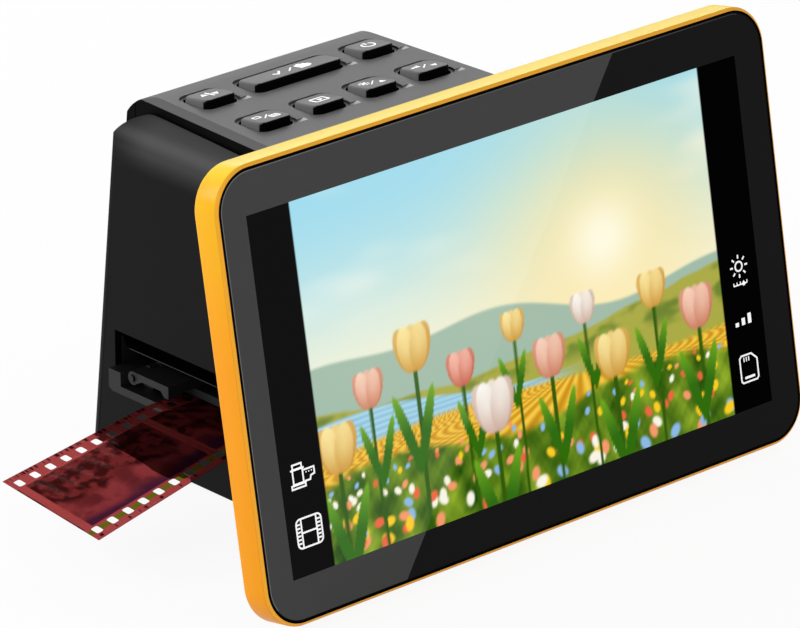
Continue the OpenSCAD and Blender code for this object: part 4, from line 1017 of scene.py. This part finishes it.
# %% Soft-edged mouldings
MOULDINGS = [  # node, name, edge width in mm, material, slot, body
    ("left_shell", "left_side_shell", 0.35, shell_black, "black_shell", "root"),
    ("right_shell", "right_side_shell", 0.35, shell_black, "black_shell", "root"),
    ("top_panel", "button_panel", 0.18, panel_grey, "grey_panel", "root"),
    ("rear_panel", "rear_roll", 0.25, shell_black, "black_shell", "root"),
    ("display_rear_cover", "display_back", 0.3, plain_black, "black_shell", "root"),
    ("upper_jaw", "channel_roof", 0.2, deep_black, "dark_plastic", "root"),
    ("film_tray", "tray_frame", 0.25, tray_black, "tray_plastic", "tray"),
    ("tray_cover", "tray_lid", 0.25, tray_black, "tray_plastic", "cover")]
softened = {}
for node_name, name, edge, material, slot_name, body in MOULDINGS:
    piece = soften(node_name, name, edge * MM)
    dress(piece, material)
    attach(piece, body)
    softened[name] = piece
    print(name, "faces:", len(piece.data.polygons))

# %% [markdown]
# The band is grey, and its flanks and the holes round the buttons are painted black as shade.
# The grey runs on over the rear roll until it turns away from above, and a small scoop at the
# right end of each well is painted lighter as a painted highlight. The slots are painted black
# as shade, the film channel's roof is black, and a lighter line along its lower edge is a
# painted highlight.

# %% Where the painted shade and the painted highlight lie
WELL_FLOOR = PANEL_TOP - 0.5 * MM
WELLS_DEEP = 3 * MM
WELLS_END = 32.5 * MM
FLANKS_START = 30 * MM
ROLL_STARTS = max(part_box(node)[1].y for node in BUTTONS)
SLOT_LOW, SLOT_HIGH, SLOT_OUTSIDE = 20 * MM, 38.5 * MM, 43.8 * MM
print("wells, mm:", round(WELL_FLOOR / MM, 2), "up to", round(PANEL_TOP / MM, 2))


def on_flank(face):
    return abs(face.normal.x) > 0.9 and abs(middle(face).x) > FLANKS_START


def near_well(face):
    point = middle(face)
    return (PANEL_TOP - WELLS_DEEP < point.z < PANEL_TOP - SNAP
            and abs(point.x) < WELLS_END and point.y < ROLL_STARTS)


def in_hole(face):
    return near_well(face) and middle(face).z < WELL_FLOOR - SNAP


def scoop(face):
    return (near_well(face) and -0.85 < face.normal.x < -0.15 and face.normal.z > 0.3
            and abs(face.normal.y) < 0.2)


def from_above(face):
    return face.normal.z > 0.72 and not on_flank(face)


def in_slot(face):
    return all(abs(corner.co.x) < SLOT_OUTSIDE and SLOT_LOW < corner.co.z < SLOT_HIGH
               for corner in face.verts)


# %% Painted shade on the band's flanks, in its holes and in the slots, and painted highlights in the scoops
def recolour(piece, material, *choices):
    """Gives a piece its material, and each further one to the faces that its test picks."""
    dress(piece, material, *[other for other, test in choices])
    edit(piece)
    for index, (other, test) in enumerate(choices, 1):
        print(piece.name, other.name, paint_faces(piece, index, test))
    bpy.ops.object.mode_set(mode="OBJECT")


# Painted shade on the flanks and in the holes, and a painted highlight in the scoops.
recolour(softened["button_panel"], panel_grey, (deep_black, on_flank), (deep_black, in_hole),
         (scoop_grey, scoop))
recolour(softened["rear_roll"], shell_black, (panel_grey, from_above), (deep_black, on_flank))
# Painted shade in the slots.
for name in ("left_side_shell", "right_side_shell"):
    recolour(softened[name], shell_black, (deep_black, in_slot))

# %% The channel's roof, with a painted highlight along its lower edge
ROOF_BLACK = (0.0004, 0.0004, 0.0004)
EDGE_HIGHLIGHT_GREY = (0.05, 0.05, 0.05)
EDGE_HIGHLIGHT_HEIGHT = 0.05 * MM
EDGE_HIGHLIGHT_HALF = 0.15 * MM
END_DEPTH = 0.1 * MM

roof = [corner.co for corner in softened["channel_roof"].data.vertices]
roof_end = max(point.x for point in roof)
roof_edge = min(point.z for point in roof if point.x > roof_end - END_DEPTH)
roof_black = plastic("roof_black", ROOF_BLACK, 0.6, specular=0.0, grain=0.01)
tree = roof_black.node_tree
# Painted highlight: a lighter line just above the roof's lower edge.
edge_highlight = calculate(tree, "COMPARE", at(tree, "Z"), roof_edge + EDGE_HIGHLIGHT_HEIGHT, EDGE_HIGHLIGHT_HALF)
turn(roof_black, EDGE_HIGHLIGHT_GREY, edge_highlight)
dress(softened["channel_roof"], roof_black)
print("lower edge of the channel's roof, mm:", round(roof_edge / MM, 2))

# %% [markdown]
# ## Finishes for the parts that stay
#
# The parts inside and underneath keep their CAD shape. Each slot still gets a made finish:
# green solder mask, zinc on the screws, anodised aluminium, opal acrylic, rubber. They are all
# made by the same function, each with a tint that drifts a little.

# %% Metal
METAL_EDGE = 0.1 * MM


def metal(name, colour, roughness):
    material = plastic(name, colour, roughness, grain=0.05, drift=0.15, edge=METAL_EDGE,
                       lighter=1.06)
    material.node_tree.nodes["Principled BSDF"].inputs["Metallic"].default_value = 1
    return material


black_oxide = metal("black_oxide", (0.03, 0.03, 0.03), 0.4)
print("for the hinge pin:", black_oxide.name)

# %% One finish for each slot
EDGE = 0.15 * MM
FINISHES = {
    "display_metal": metal("display_metal", (0.35, 0.36, 0.37), 0.45),
    "circuit_board": plastic("circuit_board", (0.02, 0.13, 0.05), 0.35, grain=0.08, edge=EDGE),
    "dark_plastic": plastic("dark_plastic", (0.016, 0.016, 0.016), 0.5, specular=0.3, edge=EDGE),
    "rubber": plastic("rubber", (0.02, 0.02, 0.02), 0.8, specular=0.2, grain=0.1, edge=EDGE),
    "steel": metal("steel", (0.60, 0.60, 0.60), 0.3),
    "anodised_metal": metal("anodised_metal", (0.05, 0.05, 0.055), 0.35),
    "switch_metal": metal("switch_metal", (0.68, 0.68, 0.68), 0.3),
    "ribbon": plastic("ribbon", (0.50, 0.24, 0.05), 0.3),
    "white_board": plastic("white_board", (0.80, 0.80, 0.80), 0.4, edge=EDGE),
    "led_lens": plastic("led_lens", (0.90, 0.82, 0.40), 0.2, edge=EDGE),
    "white_plastic": plastic("white_plastic", (0.85, 0.85, 0.85), 0.6, edge=EDGE),
    "opal_diffuser": plastic("opal_diffuser", (0.90, 0.90, 0.87), 0.25, edge=EDGE),
    "lens_glass": plastic("lens_glass", (0.04, 0.06, 0.09), 0.03, grain=0.0, drift=0.02),
    "sensor_glass": plastic("sensor_glass", (0.05, 0.06, 0.10), 0.1, grain=0.0),
    "chip_package": plastic("chip_package", (0.02, 0.02, 0.02), 0.55, grain=0.06, edge=EDGE),
    "yellow_bezel": bezel_yellow, "black_glass": black_print, "black_shell": shell_black,
    "grey_panel": panel_grey, "button_cap": button_grey, "tray_plastic": tray_black}
for entry in frame["record"]["subparts"]:
    if entry["material_slot"] in FINISHES:
        dress(frame["nodes"][entry["node"]], FINISHES[entry["material_slot"]])
dress(frame["nodes"]["tray_hinge_pin"], black_oxide)
print("slots with a finish:", len(FINISHES))

# %% [markdown]
# ## The film
#
# A strip of colour negative is orange-red where it is thin and brown where the picture is
# dense, and everything behind it shows through. The strip's shape comes from the CAD part, with
# all its perforations, and only its free end sags here by a few millimetres, as a cut strip
# does. Its finish is a mostly transmissive sheet, coloured layer on layer like the picture on
# the display: clear film, frames with a dark landscape, green along the near perforations, and
# the bars and dashes of the edge print.

# %% The hanging strip
film_low, film_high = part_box("film_strip")
FILM_OUT = -48 * MM
FILM_TWIST = 3.3 * MM


def hung_film():
    """A copy of the strip whose free end sags a little on its near side."""
    piece = copy_of("film_strip", "negative_strip")
    mesh = bmesh.from_edit_mesh(piece.data)
    for vertex in mesh.verts:
        free = min(1, max(0, (FILM_OUT - vertex.co.x) / (FILM_OUT - film_low.x)))
        near = (film_high.y - vertex.co.y) / (film_high.y - film_low.y)
        vertex.co.z -= FILM_TWIST * free * near
    bmesh.update_edit_mesh(piece.data)
    return place(piece, smooth=40)


strip = hung_film()
print("the film's lowest point before it sags, mm:", round(film_low.z / MM, 1))

# %% Places of the film's colours
FRAME_PITCH = 38 * MM
FRAMES_START = film_low.x + 0.3 * MM
GAP_SHARE = 0.06
EDGE_BAND = 12.1 * MM
PERFORATION_ROW = -14.08 * MM
GREEN_HALF = 0.75 * MM
CODE_STARTS = 16.1 * MM
DASHES = (-16.9 * MM, -15.9 * MM)
print("pictures on the strip:", math.ceil((film_high.x - film_low.x) / FRAME_PITCH))

# %% Sums and slopes for the film
film, tree, shader = new_material("negative_film")
across, along = at(tree, "Y"), at(tree, "X")


def more(value, level):
    return calculate(tree, "GREATER_THAN", value, level)


def less(value, level):
    return calculate(tree, "LESS_THAN", value, level)


def both(first, second):
    return calculate(tree, "MULTIPLY", first, second)


def sloping(rise, scale, stretch=None):
    """A wavy slope across the strip."""
    return calculate(tree, "ADD", both(across, rise), noise(tree, scale, 5, stretch))


# %% Pictures on the film
grove = blend(tree, ramp(tree, noise(tree, 330, 8), 0.42, 0.58), (0.175, 0.022, 0.023),
              (0.050, 0.006, 0.006))
hillside = blend(tree, ramp(tree, noise(tree, 120, 6), 0.40, 0.62), (0.27, 0.038, 0.042),
                 (0.13, 0.017, 0.020))
terrain = blend(tree, ramp(tree, sloping(40, 46, (1, 0.5, 1)), 0.40, 0.52), hillside, grove)
picture = blend(tree, ramp(tree, sloping(-70, 50), 0.98, 1.25), terrain, (0.066, 0.012, 0.034))
clear_film = blend(tree, ramp(tree, noise(tree, 25, 5), 0.3, 0.7), (0.34, 0.048, 0.048),
                   (0.40, 0.068, 0.066))
print("nodes of the pictures:", len(tree.nodes))

# %% Marks round the pictures
from_start = calculate(tree, "DIVIDE", calculate(tree, "SUBTRACT", along, FRAMES_START),
                       FRAME_PITCH)
in_frame = both(more(calculate(tree, "FRACT", from_start), GAP_SHARE),
                less(calculate(tree, "ABSOLUTE", across), EDGE_BAND))
green_row = calculate(tree, "COMPARE", across, PERFORATION_ROW, GREEN_HALF)
code_bars = both(more(noise(tree, 900, 1, (1, 0, 0)), 0.52), more(across, CODE_STARTS))
dashes = both(more(noise(tree, 420, 1, (1, 0, 0)), 0.58),
              both(more(across, DASHES[0]), less(across, DASHES[1])))
with_frames = blend(tree, in_frame, clear_film, picture)
with_green = blend(tree, green_row, with_frames, (0.12, 0.15, 0.006))
marked = blend(tree, calculate(tree, "MAXIMUM", code_bars, dashes), with_green,
               (0.05, 0.005, 0.012))
feed(tree, shader, {"Base Color": marked, "Roughness": 0.05, "Transmission Weight": 0.87,
                    "IOR": 1.02, "Specular IOR Level": 0.1})
print("nodes of the film:", len(tree.nodes))

# %% Negative film
dress(strip, film)
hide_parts("film_strip")
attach(strip, "film")
print("faces of the film:", len(strip.data.polygons))

# %% [markdown]
# ## Stage and light
#
# Black mouldings only show their shape by what they mirror, so the lamps are large softboxes.
# Two stand behind, left and right, and light the top and the rounded shoulders. One on the left
# keeps the bezel's side and the film bright. A broad one in front fills the glass and the
# bezel's chamfer. The floor and the world look white, but light the parts at a plain level.

# %% Floor
bpy.ops.object.select_all(action="DESELECT")
bpy.ops.mesh.primitive_plane_add(size=6, location=(0, 0, 0))
floor = bpy.context.object
floor.name = "floor"

SHARE_OF_WHITE = 0.92


def seen_directly(tree):
    """1 for what is looked at, also in a mirror or through glass, and 0 for what gives light."""
    rays = tree.nodes.new("ShaderNodeLightPath").outputs
    seen = calculate(tree, "MAXIMUM", rays["Is Camera Ray"], rays["Is Glossy Ray"])
    return calculate(tree, "MAXIMUM", seen, rays["Is Transmission Ray"])


pale_floor, tree, shader = new_material("pale_floor")
feed(tree, shader, {"Base Color": (0.9, 0.9, 0.9, 1), "Roughness": 0.9,
                    "Specular IOR Level": 0.1})
white = add_node(tree, "Emission", {"Strength": 1})
share = calculate(tree, "MULTIPLY", seen_directly(tree), SHARE_OF_WHITE)
choice = add_node(tree, "MixShader", {0: share, 1: shader.outputs[0], 2: white.outputs[0]})
feed(tree, tree.nodes["Material Output"], {"Surface": choice.outputs[0]})
dress(floor, pale_floor)
print("the floor is seen as white:", SHARE_OF_WHITE)

# %% World
AMBIENT = 0.45
world = bpy.data.worlds.new("studio")
bpy.context.scene.world = world
world.use_nodes = True
tree = world.node_tree
ambient = tree.nodes["Background"]
feed(tree, ambient, {"Color": (1, 1, 1, 1), "Strength": AMBIENT})
white = add_node(tree, "Background", {"Strength": 1})
choice = add_node(tree, "MixShader", {0: seen_directly(tree), 1: ambient.outputs[0],
                                      2: white.outputs[0]})
feed(tree, tree.nodes["World Output"], {"Surface": choice.outputs[0]})
print("the world lights with a strength of", AMBIENT)


# %% Lamps
def softbox(name, centre, aim, width, height, power):
    """A rectangular lamp at centre, facing aim. Places are in metres, power in watts."""
    bpy.ops.object.light_add(type="AREA", location=centre)
    lamp = bpy.context.object
    lamp.name = name
    lamp.rotation_euler = (Vector(aim) - Vector(centre)).to_track_quat("-Z", "Y").to_euler()
    lamp.data.shape = "RECTANGLE"
    lamp.data.size = width
    lamp.data.size_y = height
    lamp.data.energy = power


SUBJECT = (0, 0, 0.05)
softbox("rear_left_panel", (-0.9, 1.05, 0.72), SUBJECT, 0.6, 0.6, 13)
softbox("rear_right_panel", (0.9, 1.0, 0.65), SUBJECT, 0.7, 0.5, 5)
softbox("left_panel", (-1.5, 0.1, 0.9), SUBJECT, 0.8, 1.0, 8)
softbox("front_fill", (0.6, -1.8, 1.0), SUBJECT, 1.4, 1.0, 7)
